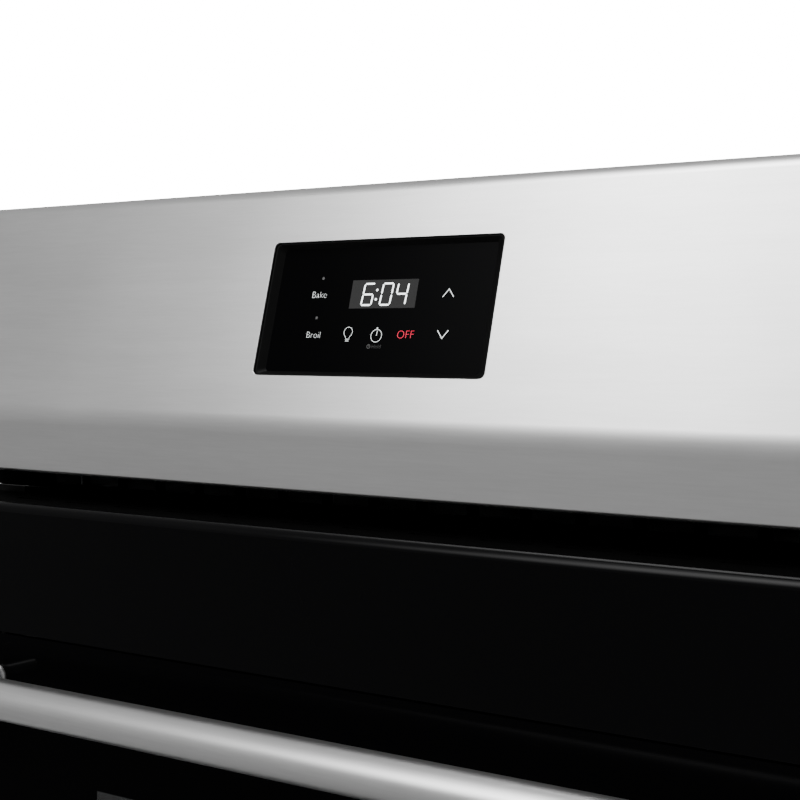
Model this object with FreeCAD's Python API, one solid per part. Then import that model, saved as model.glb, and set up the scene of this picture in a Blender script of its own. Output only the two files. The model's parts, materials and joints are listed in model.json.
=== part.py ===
"""Built-in single electric wall oven for a 24 inch cabinet.

Millimetres, +Z up, +Y into the cabinet. X = 0 is the middle, Y = 0 the cabinet's face and
Z = 0 the underside of the base. One STEP file is written for each separate piece.
"""
import FreeCAD, Part
import math
import os

V = FreeCAD.Vector
X_AXIS = V(1, 0, 0)
Z_AXIS = V(0, 0, 1)

# ---- overall sizes ----
FRONT_WIDTH = 606.0
BODY_WIDTH = 555.0
BODY_DEPTH = 560.0
BODY_HEIGHT = 700.0
SHEET = 1.0
GAP = 0.05
HALF_FRONT = FRONT_WIDTH / 2
HALF_BODY = BODY_WIDTH / 2

# ---- control panel: a folded sheet that leans back, then turns in under itself ----
PANEL_SHEET = 1.2
PANEL_LEAN = 15.7
PANEL_UNDERCUT = 10.0
DISPLAY_Y = -32.0
DISPLAY_Z = 672.0
TOP_ROUND = 8.0
TOP_ROUND_UP = 59.5
BEND_ROUND = 26.0
BEND_DOWN = 61.6
LIP_ROUND = 2.5
LOWER_FACE = 34.4
UNDERSIDE_BACK = -13.0

# ---- display ----
DISPLAY_WIDTH = 140.0
DISPLAY_HEIGHT = 70.9
DISPLAY_CORNER = 3.0
GLASS_WIDTH = 130.0
GLASS_HEIGHT = 65.0
GLASS_SINK = 3.8
GLASS_THICK = 2.0
HOUSING_RIM = 6.0
HOUSING_DEPTH = 14.0
BOARD_LOW = -16.0
BOARD_THICK = 1.6
BOARD_SCREWS = ((-65, -31), (-65, 31), (65, -31), (65, 31))
LCD_U = 5.0
LCD_V = 6.5

# ---- oven cavity ----
CAVITY_WIDTH = 457.0
CAVITY_FLOOR = 118.0
CAVITY_TOP = 524.0
CAVITY_FRONT = -10.3
CAVITY_BACK = 480.0
LINER = 1.5
HALF_CAVITY = CAVITY_WIDTH / 2
BLANKET = 30.0

# ---- front frame ----
FRAME_FACE = -12.0
FRAME_SHEET = 1.5
FRAME_BOTTOM = 44.0
FRAME_TOP = 566.0
GRILLE_TOP = 578.4

# ---- door ----
DOOR_FRONT = -62.0
DOOR_BACK = -15.0
DOOR_BOTTOM = 50.0
DOOR_TOP = 562.7
DOOR_HALF = 297.0
DOOR_GLASS = 4.0
BAND_HEIGHT = 74.0
BAND_ROUND = 5.0
DOOR_SHEET = 1.5
WINDOW_WIDTH = 330.0
WINDOW_HEIGHT = 220.0
WINDOW_Z = 300.0
PANE = 4.0
PANE_LAP = 15.0
PANE_FRONTS = (-40.6, -20.6)
INNER_PANEL_TOP = DOOR_TOP - 21.0
SEAL_LAP = 14.0
SEAL_WIDTH = 8.0
LINER_SCREWS = [(x, z) for x in (-270, 270) for z in (90, 250, 410)]

# ---- handle ----
HANDLE_R = 11.0
HANDLE_HALF = 275.0
HANDLE_Y = -97.0
HANDLE_Z = 462.0
POST_X = 245.0

# ---- hinges ----
PIVOT_Y = -21.0
PIVOT_Z = 57.0
HINGE_X = 245.0
PIN_R = 3.0
PIN_GAP = 0.05
ARM_THICK = 4.0
ARM_R = 5.0
EAR_REACH = 19.0
CASE_HALF = 9.0
CASE_SHEET = 1.5
CASE_TOP = 250.0
CASE_FRONT = -56.0
CASE_BACK = -28.0
NOTCH_HALF = 3.5

# ---- racks and elements ----
RACK_LEVELS = (150.0, 212.0, 274.0, 336.0, 398.0, 460.0)
LOWER_RACK_LEVEL = 212.0
UPPER_RACK_LEVEL = 336.0
RACK_FRAME_R = 3.0
RACK_WIRE_R = 1.8
RACK_FRONT = 14.0
RACK_BACK = 440.0
RACK_WIRES = 19
RACK_STOP = 9.0
RACK_CORNER = 14.0
GUIDE_R = 2.5
RACK_HALF = 216.0
ELEMENT_R = 3.5
ELEMENT_ENDS = 35.0
ELEMENT_SIDE = 175.0
BAKE_Z = 134.0
BROIL_Z = 506.0

# ---- things that pass through the liner ----
LAMP_X = -165.0
LAMP_Z = 440.0
LAMP_R = 24.0
PROBE_X = 150.0
FLUE_Y = 400.0
FLUE_R = 15.0

# ---- cooling ----
BLOWER_Y = 332.0
BLOWER_Z = 612.0
BLOWER_R = 30.0
BLOWER_LENGTH = 200.0
BLADES = 24
DUCT_TOP = 580.0
DUCT_FLOOR = 566.6

# ---- fixing holes in the side trims ----
MOUNT_X = 290.5
MOUNT_HEIGHTS = (70.0, 510.0)
MOUNT_HOLE_R = 2.5

# ---- wiring entry and small movers ----
BOX_X = 190.0
BOX_Z = 655.0
KNOCK_OUT_R = 11.1
SHAFT_R = 3.0
PLUNGER_R = 3.0
SWITCH_X = HALF_BODY - 24.0
SWITCH_Z = FRAME_TOP - 22.0


# ---- helpers ----
def box(x0, x1, y0, y1, z0, z1):
    """A block between two corners."""
    return Part.makeBox(x1 - x0, y1 - y0, z1 - z0, V(x0, y0, z0))


def rod(radius, start, end):
    """A round bar from one point to another."""
    start = V(*start)
    along = V(*end) - start
    return Part.makeCylinder(radius, along.Length, start, along)


def pipe(inner, outer, start, end):
    """A round tube from one point to another."""
    return rod(outer, start, end).cut(rod(inner, start, end))


def join(shapes):
    """One solid from shapes that touch or overlap."""
    first, *rest = shapes
    return first.multiFuse(rest).removeSplitter() if rest else first


def group(shapes):
    """Several separate solids kept in one node."""
    return Part.makeCompound(shapes)


def mirrored(shape):
    """The same piece on the other side of X = 0."""
    return shape.mirror(V(0, 0, 0), X_AXIS)


def rounded_plate(width, height, corner, low, high):
    """A plate with round corners around the origin, between two heights."""
    plate = box(-width / 2, width / 2, -height / 2, height / 2, low, high)
    uprights = [edge for edge in plate.Edges if abs(edge.tangentAt(0).z) > 0.9]
    return plate.makeFillet(corner, uprights)


def prism(points, x0, x1):
    """A straight-sided outline given as (y, z) points, drawn out along X."""
    corners = [V(x0, y, z) for y, z in points]
    face = Part.Face(Part.makePolygon(corners + corners[:1]))
    return face.extrude(V(x1 - x0, 0, 0))


def bent_wire(points, radius, bend):
    """A round wire through points, with every corner bent to an arc."""
    path = [V(*point) for point in points]
    edges = []
    here = path[0]
    for before, corner, after in zip(path, path[1:], path[2:]):
        back = (before - corner).normalize()
        ahead = (after - corner).normalize()
        half = math.acos(max(-1.0, min(1.0, back.dot(ahead)))) / 2
        reach = bend / math.tan(half)
        start = corner + back * reach
        end = corner + ahead * reach
        middle_way = (back + ahead).normalize()
        middle = corner + middle_way * (bend / math.sin(half) - bend)
        edges.append(Part.makeLine(here, start))
        edges.append(Part.Arc(start, middle, end).toShape())
        here = end
    edges.append(Part.makeLine(here, path[-1]))
    spine = Part.Wire(edges)
    first_way = (path[1] - path[0]).normalize()
    ring = Part.Wire([Part.makeCircle(radius, path[0], first_way)])
    return spine.makePipeShell([ring], True, True)


def on_panel(shape):
    """Move a piece drawn around the display (x right, y up, z outward) onto the leaning panel."""
    turn = FreeCAD.Rotation(X_AXIS, 90.0 - PANEL_LEAN)
    placed = shape.copy()
    placed.Placement = FreeCAD.Placement(V(0, DISPLAY_Y, DISPLAY_Z), turn)
    return placed


def screw(head_r, head_h, shank_r, length, point, way):
    """A pan-head screw: head outside the point, shank running on along the given way."""
    point = V(*point)
    way = V(*way)
    head = Part.makeCylinder(head_r, head_h, point - way * head_h, way)
    shank = Part.makeCylinder(shank_r, length, point, way)
    slot = Part.makeCylinder(head_r * 0.45, head_h * 0.6, point - way * head_h, way)
    return head.fuse(shank).cut(slot).removeSplitter()


# ---- control panel ----
def panel_section(inset):
    """The panel's side outline as a face at X = 0, shrunk inward by inset and closed at Y = 0."""
    lean = math.radians(PANEL_LEAN)
    under = math.radians(PANEL_UNDERCUT)
    up = V(0, math.sin(lean), math.cos(lean))
    face_out = V(0, -math.cos(lean), math.sin(lean))
    low_down = V(0, math.sin(under), -math.cos(under))
    low_out = V(0, -math.cos(under), -math.sin(under))
    middle = V(0, DISPLAY_Y, DISPLAY_Z)
    bend_corner = middle - up * BEND_DOWN
    lip_corner = bend_corner + low_down * LOWER_FACE
    top_centre = middle + up * TOP_ROUND_UP - face_out * TOP_ROUND
    bend_reach = BEND_ROUND * math.tan((lean + under) / 2)
    bend_centre = bend_corner + up * bend_reach - face_out * BEND_ROUND
    lip_reach = LIP_ROUND * math.tan((math.pi / 2 - under) / 2)
    lip_centre = lip_corner - low_down * lip_reach - low_out * LIP_ROUND

    def arc(centre, radius, first, last):
        between = (first + last).normalize()
        ends = [centre + way * (radius - inset) for way in (first, between, last)]
        return Part.Arc(*ends).toShape()

    arcs = [
        arc(top_centre, TOP_ROUND, Z_AXIS, face_out),
        arc(bend_centre, BEND_ROUND, face_out, low_out),
        arc(lip_centre, LIP_ROUND, low_out, -Z_AXIS),
    ]
    ends = [(edge.Vertexes[0].Point, edge.Vertexes[-1].Point) for edge in arcs]
    top_back = V(0, 0, ends[0][0].z)
    low_back = V(0, 0, ends[2][1].z)
    edges = [
        Part.makeLine(top_back, ends[0][0]), arcs[0],
        Part.makeLine(ends[0][1], ends[1][0]), arcs[1],
        Part.makeLine(ends[1][1], ends[2][0]), arcs[2],
        Part.makeLine(ends[2][1], low_back),
        Part.makeLine(low_back, top_back),
    ]
    return Part.Face(Part.Wire(edges))


def panel_block(inset, x0, x1):
    """The panel's outline drawn out along X."""
    face = panel_section(inset)
    face.translate(V(x0, 0, 0))
    return face.extrude(V(x1 - x0, 0, 0))


def control_fascia():
    outer = panel_block(0, -HALF_FRONT, HALF_FRONT)
    inner = panel_block(PANEL_SHEET, -HALF_FRONT - 1, HALF_FRONT + 1)
    inner_back = box(-HALF_FRONT - 1, HALF_FRONT + 1, -0.5, 1, DISPLAY_Z - 91, 733)
    sheet = outer.cut(inner.fuse(inner_back))
    under_cut = box(-HALF_FRONT - 1, HALF_FRONT + 1, UNDERSIDE_BACK, 1, 570, 590)
    opening = rounded_plate(DISPLAY_WIDTH, DISPLAY_HEIGHT, DISPLAY_CORNER, -12, 12)
    return sheet.cut(under_cut).cut(on_panel(opening))


def panel_end_caps():
    """Moulded caps that close the two ends of the folded panel."""
    cap = panel_block(PANEL_SHEET + 0.1, HALF_FRONT - 4, HALF_FRONT - 1)
    cap = cap.cut(box(0, HALF_FRONT, -2, 1, 570, 740))
    cap = cap.cut(box(0, HALF_FRONT, UNDERSIDE_BACK, 1, 570, 590))
    return group([cap, mirrored(cap)])


def display_bezel():
    """A sunken black frame: its walls slope from the sheet's opening down to the glass."""
    rim_w = DISPLAY_WIDTH + 2 * HOUSING_RIM
    rim_h = DISPLAY_HEIGHT + 2 * HOUSING_RIM
    floor = -GLASS_SINK - GLASS_THICK
    frame = rounded_plate(rim_w, rim_h, 4, floor, -PANEL_SHEET - 0.05)
    wide = rounded_plate(DISPLAY_WIDTH - 0.6, DISPLAY_HEIGHT - 0.6, DISPLAY_CORNER, -0.7, -0.6)
    narrow = rounded_plate(GLASS_WIDTH, GLASS_HEIGHT, 2, -GLASS_SINK, -GLASS_SINK + 0.1)
    top_face = max(wide.Faces, key=lambda face: face.CenterOfMass.z)
    low_face = min(narrow.Faces, key=lambda face: face.CenterOfMass.z)
    funnel = Part.makeLoft([low_face.OuterWire, top_face.OuterWire], True, True)
    seat = rounded_plate(GLASS_WIDTH + 0.2, GLASS_HEIGHT + 0.2, 2, floor - 1, -GLASS_SINK)
    return on_panel(frame.cut(funnel).cut(seat))


def display_glass():
    floor = -GLASS_SINK - GLASS_THICK
    return on_panel(rounded_plate(GLASS_WIDTH, GLASS_HEIGHT, 2, floor, -GLASS_SINK))


def lcd_module():
    top = -GLASS_SINK - GLASS_THICK
    return on_panel(box(LCD_U - 22, LCD_U + 22, LCD_V - 10, LCD_V + 10, top - 6, top - 0.05))


def display_housing():
    """A moulded tray behind the glass that holds the circuit board."""
    half_w = DISPLAY_WIDTH / 2 + HOUSING_RIM
    half_h = DISPLAY_HEIGHT / 2 + HOUSING_RIM
    top = -GLASS_SINK - GLASS_THICK - 0.05
    wall = 2.0
    tray = box(-half_w, half_w, -half_h, half_h, top - HOUSING_DEPTH, top)
    floor = top - HOUSING_DEPTH + wall
    room = box(wall - half_w, half_w - wall, wall - half_h, half_h - wall, floor, 0)
    return on_panel(tray.cut(room))


def control_board():
    board = box(-70, 70, -36, 36, BOARD_LOW, BOARD_LOW + BOARD_THICK)
    holes = [rod(1.7, (u, v, BOARD_LOW - 1), (u, v, BOARD_LOW + 3)) for u, v in BOARD_SCREWS]
    return on_panel(board.cut(group(holes)))


def board_parts():
    """Relays, a transformer, capacitors and a buzzer standing on the circuit board."""
    base = BOARD_LOW + BOARD_THICK + 0.05
    relays = [box(-60 + step, -45 + step, -32, -14, base, base + 7.5) for step in (0, 18, 36)]
    transformer = box(30, 56, -33, -9, base, base + 8)
    caps = [rod(4, (u, 24, base), (u, 24, base + 8)) for u in (-55, -44, -33)]
    buzzer = rod(6, (48, 20, base), (48, 20, base + 6))
    return on_panel(group(relays + caps + [transformer, buzzer]))


def display_screws():
    """Four screws that clamp the circuit board to posts in the tray."""
    top = BOARD_LOW + BOARD_THICK
    return on_panel(group([screw(2.8, 1.8, 1.5, 3.3, (u, v, top), (0, 0, -1)) for u, v in BOARD_SCREWS]))


# ---- front ----
def front_frame():
    """The enamelled frame that the cavity is welded to, with turned-back edges."""
    face = box(-HALF_BODY, HALF_BODY, FRAME_FACE, FRAME_FACE + FRAME_SHEET, FRAME_BOTTOM, FRAME_TOP)
    mouth = box(-HALF_CAVITY, HALF_CAVITY, -20, 5, CAVITY_FLOOR, CAVITY_TOP)
    pieces = [face.cut(mouth)]
    for side in (-1, 1):
        edge = side * HALF_BODY
        inner = edge - side * FRAME_SHEET
        low_x, high_x = sorted((edge, inner))
        pieces.append(box(low_x, high_x, FRAME_FACE, 0, FRAME_BOTTOM, FRAME_TOP))
    pieces.append(box(-HALF_BODY, HALF_BODY, FRAME_FACE, 0, FRAME_TOP - FRAME_SHEET, FRAME_TOP))
    frame = join(pieces)
    for x in (-HINGE_X, HINGE_X):
        frame = frame.cut(box(x - NOTCH_HALF, x + NOTCH_HALF, -20, 2, PIVOT_Z - 6.5, PIVOT_Z + 30))
    switch_hole = rod(4.3, (SWITCH_X, -20, SWITCH_Z), (SWITCH_X, 5, SWITCH_Z))
    return frame.cut(switch_hole)


def side_trims():
    """Channels beside the door whose flanges lap over the cabinet's face."""
    inner = HALF_BODY + 0.3
    face = box(inner, HALF_FRONT, FRAME_FACE, FRAME_FACE + FRAME_SHEET, 0, FRAME_TOP)
    wall = box(inner, inner + FRAME_SHEET, FRAME_FACE, 0, 0, FRAME_TOP)
    edge = box(HALF_FRONT - FRAME_SHEET, HALF_FRONT, FRAME_FACE, 0, 0, FRAME_TOP)
    flange = box(inner, HALF_FRONT, -FRAME_SHEET, 0, 0, FRAME_TOP)
    trim = join([face, wall, edge, flange])
    for z in MOUNT_HEIGHTS:
        trim = trim.cut(rod(MOUNT_HOLE_R, (MOUNT_X, -20, z), (MOUNT_X, 5, z)))
    return group([trim, mirrored(trim)])


def bottom_vent_trim():
    """The slotted strip under the door that lets room air in."""
    face = box(-HALF_BODY, HALF_BODY, FRAME_FACE, FRAME_FACE + FRAME_SHEET, 0, FRAME_BOTTOM - 1)
    foot = box(-HALF_BODY, HALF_BODY, FRAME_FACE, 0, 0, FRAME_SHEET)
    strip = face.fuse(foot)
    slots = []
    for index in range(-5, 6):
        for z in (14, 24, 34):
            middle = index * 46
            slots.append(box(middle - 17, middle + 17, -20, -5, z - 2, z + 2))
    return strip.cut(group(slots)).removeSplitter()


def vent_grille():
    """A louvred strip between the panel and the door where cooling air blows out."""
    low = FRAME_TOP + 0.5
    half = HALF_FRONT - 0.5
    strip = box(-half, half, FRAME_FACE, FRAME_FACE + FRAME_SHEET, low, GRILLE_TOP)
    slots = [box(x - 12, x + 12, -20, 0, low + 3, GRILLE_TOP - 3.5) for x in range(-240, 241, 30)]
    return strip.cut(group(slots))


def door_seal():
    """A woven tube around the cavity's mouth, squeezed flat by the closed door."""
    low = CAVITY_FLOOR - SEAL_LAP
    high = CAVITY_TOP + SEAL_LAP
    half = HALF_CAVITY + SEAL_LAP
    inner_half = half - SEAL_WIDTH
    outer = box(-half, half, DOOR_BACK + 0.1, FRAME_FACE - 0.1, low, high)
    inner = box(-inner_half, inner_half, -20, 0, low + SEAL_WIDTH, high - SEAL_WIDTH)
    outer_corner = 24
    rounded = [
        block.makeFillet(corner, [edge for edge in block.Edges if abs(edge.tangentAt(0).y) > 0.9])
        for block, corner in ((outer, outer_corner), (inner, outer_corner - SEAL_WIDTH))
    ]
    return rounded[0].cut(rounded[1])


# ---- door ----
def door_glass():
    low = DOOR_BOTTOM + 4
    high = DOOR_TOP - BAND_HEIGHT - 1
    pane = box(-DOOR_HALF, DOOR_HALF, DOOR_FRONT, DOOR_FRONT + DOOR_GLASS, low, high)
    return pane.cut(group([rod(3.5, (x, -70, HANDLE_Z), (x, -50, HANDLE_Z)) for x in (-POST_X, POST_X)]))


def band_section(inset, back, low):
    """Side outline of the door's top band, shrunk by inset, with its round top edge."""
    top = DOOR_TOP - inset
    front = DOOR_FRONT + inset
    turn = BAND_ROUND - inset
    diagonal = turn * math.sqrt(0.5)
    start = V(0, front, DOOR_TOP - BAND_ROUND)
    middle = V(0, DOOR_FRONT + BAND_ROUND - diagonal, DOOR_TOP - BAND_ROUND + diagonal)
    end = V(0, DOOR_FRONT + BAND_ROUND, top)
    edges = [
        Part.makeLine(V(0, front, low), start),
        Part.Arc(start, middle, end).toShape(),
        Part.makeLine(end, V(0, back, top)),
        Part.makeLine(V(0, back, top), V(0, back, low)),
        Part.makeLine(V(0, back, low), V(0, front, low)),
    ]
    return Part.Face(Part.Wire(edges))


def door_top_trim():
    """The glossy band across the door's top: front, round edge, slotted top and back lip."""
    low = DOOR_TOP - BAND_HEIGHT
    outer = band_section(0, DOOR_BACK, low)
    inner = band_section(DOOR_SHEET, DOOR_BACK - DOOR_SHEET, low - 1)
    outer.translate(V(-DOOR_HALF, 0, 0))
    inner.translate(V(-DOOR_HALF + DOOR_SHEET, 0, 0))
    shell = outer.extrude(V(2 * DOOR_HALF, 0, 0))
    shell = shell.cut(inner.extrude(V(2 * (DOOR_HALF - DOOR_SHEET), 0, 0)))
    slots = [box(x - 14, x + 14, -40, -34, DOOR_TOP - 4, DOOR_TOP + 1) for x in range(-240, 241, 40)]
    return shell.cut(group(slots)).cut(box(-300, 300, -20, 0, low - 1, DOOR_TOP - 20))


def door_side_channels():
    """Upright channels that hold the glass, the inner panel and the hinges together."""
    low = DOOR_BOTTOM + 4
    high = DOOR_TOP - BAND_HEIGHT - 1
    front = DOOR_FRONT + DOOR_GLASS + 0.05
    inner = HINGE_X + CASE_HALF + 2
    web = box(DOOR_HALF - DOOR_SHEET, DOOR_HALF, front, DOOR_BACK - DOOR_SHEET, low, high)
    lip = box(inner, DOOR_HALF, front, front + DOOR_SHEET, low, high)
    rear = box(inner, DOOR_HALF, DOOR_BACK - 2 * DOOR_SHEET, DOOR_BACK - DOOR_SHEET, low, high)
    channel = join([web, lip, rear])
    holes = [rod(2.1, (x, -20, z), (x, -10, z)) for x, z in LINER_SCREWS]
    return group([channel, mirrored(channel)]).cut(group(holes))


def door_bottom_trim():
    """The channel that closes the door's lower edge, notched for the hinge arms."""
    low = DOOR_BOTTOM
    front = box(-DOOR_HALF, DOOR_HALF, DOOR_FRONT, DOOR_FRONT + DOOR_SHEET, low, low + 3.5)
    web = box(-DOOR_HALF, DOOR_HALF, DOOR_FRONT, DOOR_BACK - DOOR_SHEET, low, low + DOOR_SHEET)
    return join([front, web]).cut(arm_notches())


def arm_notches():
    """Room in the door's lower back corner for the fixed hinge arms."""
    notch = box(HINGE_X - NOTCH_HALF, HINGE_X + NOTCH_HALF, PIVOT_Y - 8, 0, 40, PIVOT_Z + 8)
    return group([notch, mirrored(notch)])


def door_inner_panel():
    """The enamelled inner liner with the window opening, facing the cavity."""
    half = DOOR_HALF - 2
    low = DOOR_BOTTOM + DOOR_SHEET + 0.1
    face = box(-half, half, DOOR_BACK - DOOR_SHEET + GAP, DOOR_BACK, low, INNER_PANEL_TOP)
    opening = window_block(0, -30, 0)
    holes = [rod(2.1, (x, -20, z), (x, -10, z)) for x, z in LINER_SCREWS]
    return face.cut(opening).cut(arm_notches()).cut(group(holes))


def window_block(lap, y0, y1):
    """A block centred on the window, larger all round by lap, between two depths."""
    half_w = WINDOW_WIDTH / 2 + lap
    half_h = WINDOW_HEIGHT / 2 + lap
    return box(-half_w, half_w, y0, y1, WINDOW_Z - half_h, WINDOW_Z + half_h)


def window_panes():
    """Two heat-resisting panes in the inner half of the door."""
    return group([window_block(PANE_LAP, front, front + PANE) for front in PANE_FRONTS])


def window_frame():
    """The folded frame that clamps both window panes."""
    outer_front, inner_front = PANE_FRONTS
    room_lap = PANE_LAP + 0.2
    wall = window_block(PANE_LAP + 2, outer_front - 1.6, -17)
    room = window_block(room_lap, outer_front - 0.1, -16)
    spacer = window_block(room_lap, outer_front + PANE + 0.1, inner_front - 0.1)
    sight = window_block(0, -50, -10)
    return join([wall.cut(room), spacer]).cut(sight)


def door_insulation():
    """A fibre blanket packed around the window frame."""
    blanket = box(-230, 230, -42, -18, 70, 486)
    return blanket.cut(window_block(PANE_LAP + 3, -50, -10))


def handle_line(x):
    """A point on the handle bar's axis."""
    return x, HANDLE_Y, HANDLE_Z


def handle_bar():
    tube = pipe(HANDLE_R - 1.5, HANDLE_R, handle_line(-HANDLE_HALF), handle_line(HANDLE_HALF))
    plug = rod(HANDLE_R, handle_line(HANDLE_HALF), handle_line(HANDLE_HALF + 3))
    return join([tube, plug, mirrored(plug)])


def handle_posts():
    """Two round standoffs between the door's front and the bar, bored for screws."""
    posts = []
    for x in (-POST_X, POST_X):
        post = rod(8, handle_line(x), (x, DOOR_FRONT - GAP, HANDLE_Z))
        post = post.cut(rod(HANDLE_R + 0.02, handle_line(x - 20), handle_line(x + 20)))
        post = post.cut(rod(2.55, (x, DOOR_FRONT - 20, HANDLE_Z), (x, DOOR_FRONT, HANDLE_Z)))
        posts.append(post)
    return group(posts)


def handle_screws():
    """Two screws from inside the door, through the glass and into the posts."""
    back = DOOR_FRONT + DOOR_GLASS
    return group([screw(5.5, 3, 2.5, 19, (x, back, HANDLE_Z), (0, -1, 0)) for x in (-POST_X, POST_X)])


def liner_screws():
    """Six screws that hold the inner panel to the door's side channels."""
    return group([screw(4, 1.4, 2.0, 6, (x, DOOR_BACK, z), (0, -1, 0)) for x, z in LINER_SCREWS])


# ---- hinges ----
def hinge_cases():
    """Channels inside the door whose cheeks turn on the hinge pins and house the springs."""
    outline = [
        (CASE_FRONT, 52.2), (-17, 52.2), (-17, 66), (CASE_BACK, 80), (CASE_BACK, CASE_TOP),
        (CASE_FRONT, CASE_TOP),
    ]
    cheeks = [
        prism(outline, HINGE_X - CASE_HALF, HINGE_X - CASE_HALF + CASE_SHEET),
        prism(outline, HINGE_X + CASE_HALF - CASE_SHEET, HINGE_X + CASE_HALF),
    ]
    left = HINGE_X - CASE_HALF
    right = HINGE_X + CASE_HALF
    web = box(left, right, CASE_FRONT, CASE_FRONT + CASE_SHEET, 90, CASE_TOP)
    cap = box(left, right, CASE_FRONT, CASE_BACK, CASE_TOP - CASE_SHEET, CASE_TOP)
    case = join(cheeks + [web, cap])
    bore = PIN_R + PIN_GAP
    case = case.cut(rod(bore, (left - 1, PIVOT_Y, PIVOT_Z), (right + 1, PIVOT_Y, PIVOT_Z)))
    return group([case, mirrored(case)])


def hinge_arms():
    """Fixed arms: an eye at the pivot, an ear that loads the spring and a claw at the back."""
    x0 = HINGE_X - ARM_THICK / 2
    x1 = HINGE_X + ARM_THICK / 2
    outline = [
        (PIVOT_Y, PIVOT_Z - 4.5), (50, PIVOT_Z - 4.5), (50, PIVOT_Z - 9), (58, PIVOT_Z - 9),
        (58, PIVOT_Z + 4.5), (PIVOT_Y, PIVOT_Z + 4.5),
    ]
    ear_y = PIVOT_Y - EAR_REACH
    ear = rod(ARM_R - 0.5, (x0, ear_y, PIVOT_Z), (x1, ear_y, PIVOT_Z))
    neck = box(x0, x1, ear_y, PIVOT_Y, PIVOT_Z - 3.5, PIVOT_Z + 3.5)
    eye = rod(ARM_R, (x0, PIVOT_Y, PIVOT_Z), (x1, PIVOT_Y, PIVOT_Z))
    arm = join([prism(outline, x0, x1), eye, neck, ear])
    arm = arm.cut(rod(PIN_R, (x0 - 1, PIVOT_Y, PIVOT_Z), (x1 + 1, PIVOT_Y, PIVOT_Z)))
    return group([arm, mirrored(arm)])


def hinge_pins():
    """Pins pressed through the arms; the door's hinge cases turn on their ends."""
    reach = CASE_HALF + 0.8
    pin = rod(PIN_R, (HINGE_X - reach, PIVOT_Y, PIVOT_Z), (HINGE_X + reach, PIVOT_Y, PIVOT_Z))
    return group([pin, mirrored(pin)])


def hinge_receivers():
    """Steel pockets behind the front frame that the arms' claws hook into."""
    outer = box(HINGE_X - 8, HINGE_X + 8, -10.3, 62, PIVOT_Z - 11, PIVOT_Z + 26)
    room = box(HINGE_X - 6, HINGE_X + 6, -12, 60, PIVOT_Z - 9.2, PIVOT_Z + 24)
    pocket = outer.cut(room)
    stop = box(HINGE_X - 6, HINGE_X + 6, 38, 49.5, PIVOT_Z - 9.2, PIVOT_Z - 4.7)
    pocket = join([pocket, stop])
    return group([pocket, mirrored(pocket)])


def hinge_springs():
    """Compression springs in the hinge cases, each with a straight leg down to the arm's ear."""
    coil_r = 6.0
    wire_r = 1.2
    pitch = 7.0
    low = 104.0
    high = CASE_TOP - CASE_SHEET - wire_r - 0.2
    y = PIVOT_Y - EAR_REACH
    coil = Part.makeHelix(pitch, high - low, coil_r)
    start = coil.Edges[0].valueAt(coil.Edges[0].FirstParameter)
    way = coil.Edges[0].tangentAt(coil.Edges[0].FirstParameter)
    ring = Part.Wire([Part.makeCircle(wire_r, start, way)])
    spring = Part.Wire(coil.Edges).makePipeShell([ring], True, True)
    spring.translate(V(HINGE_X, y, low))
    seat = rod(coil_r + wire_r - 0.5, (HINGE_X, y, low - 4), (HINGE_X, y, low + 0.4))
    leg = rod(2.5, (HINGE_X, y, PIVOT_Z + ARM_R), (HINGE_X, y, low - 3))
    spring = join([spring, seat, leg])
    return group([spring, mirrored(spring)])


# ---- cavity ----
def liner_edges():
    """The outside corners of the cavity liner: half width, floor and roof."""
    return HALF_CAVITY + LINER, CAVITY_FLOOR - LINER, CAVITY_TOP + LINER


def cavity_floor():
    half, low, _ = liner_edges()
    return box(-half, half, CAVITY_FRONT, CAVITY_BACK, low, CAVITY_FLOOR)


def cavity_roof():
    half, _, high = liner_edges()
    sheet = box(-half, half, CAVITY_FRONT, CAVITY_BACK, CAVITY_TOP, high)
    return sheet.cut(rod(FLUE_R, (0, FLUE_Y, CAVITY_TOP - 5), (0, FLUE_Y, high + 5)))


def cavity_sides():
    half, _, _ = liner_edges()
    wall = box(HALF_CAVITY, half, CAVITY_FRONT, CAVITY_BACK, CAVITY_FLOOR, CAVITY_TOP)
    return group([wall, mirrored(wall)])


def back_holes(radius_gain, y0, y1):
    """Holes through the back for the lamp, the elements' ends and the probe."""
    holes = [rod(LAMP_R + radius_gain, (LAMP_X, y0, LAMP_Z), (LAMP_X, y1, LAMP_Z))]
    for z in (BAKE_Z, BROIL_Z):
        for x in (-ELEMENT_ENDS, ELEMENT_ENDS):
            holes.append(rod(ELEMENT_R + 0.5 + radius_gain, (x, y0, z), (x, y1, z)))
    holes.append(rod(3.0 + radius_gain, (PROBE_X, y0, LAMP_Z), (PROBE_X, y1, LAMP_Z)))
    return group(holes)


def cavity_back():
    half, low, high = liner_edges()
    sheet = box(-half, half, CAVITY_BACK, CAVITY_BACK + LINER, low, high)
    return sheet.cut(back_holes(0, CAVITY_BACK - 5, CAVITY_BACK + 5))


def insulation_blankets():
    """Fibre blankets around the sides, roof, floor and back of the cavity."""
    half, low, high = liner_edges()
    wide = half + 0.5 + BLANKET
    front = FRAME_FACE + FRAME_SHEET + 0.3
    back = CAVITY_BACK + LINER + 0.3
    side = box(half + 0.5, wide, front, back + BLANKET, low - BLANKET, high + BLANKET)
    side = side.cut(box(half + 8, wide + 1, front - 1, 22, high + 5, high + BLANKET + 1))
    roof = box(-half, half, front, back + BLANKET, high + 0.3, high + BLANKET)
    roof = roof.cut(rod(FLUE_R + 3, (0, FLUE_Y, high - 5), (0, FLUE_Y, high + BLANKET + 5)))
    floor = box(-half, half, front, back + BLANKET, low - BLANKET, low - 0.3)
    rear = box(-half, half, back, back + BLANKET, low, high)
    rear = rear.cut(back_holes(4, back - 5, back + BLANKET + 5))
    return group([side, mirrored(side), roof, floor, rear])


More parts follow.
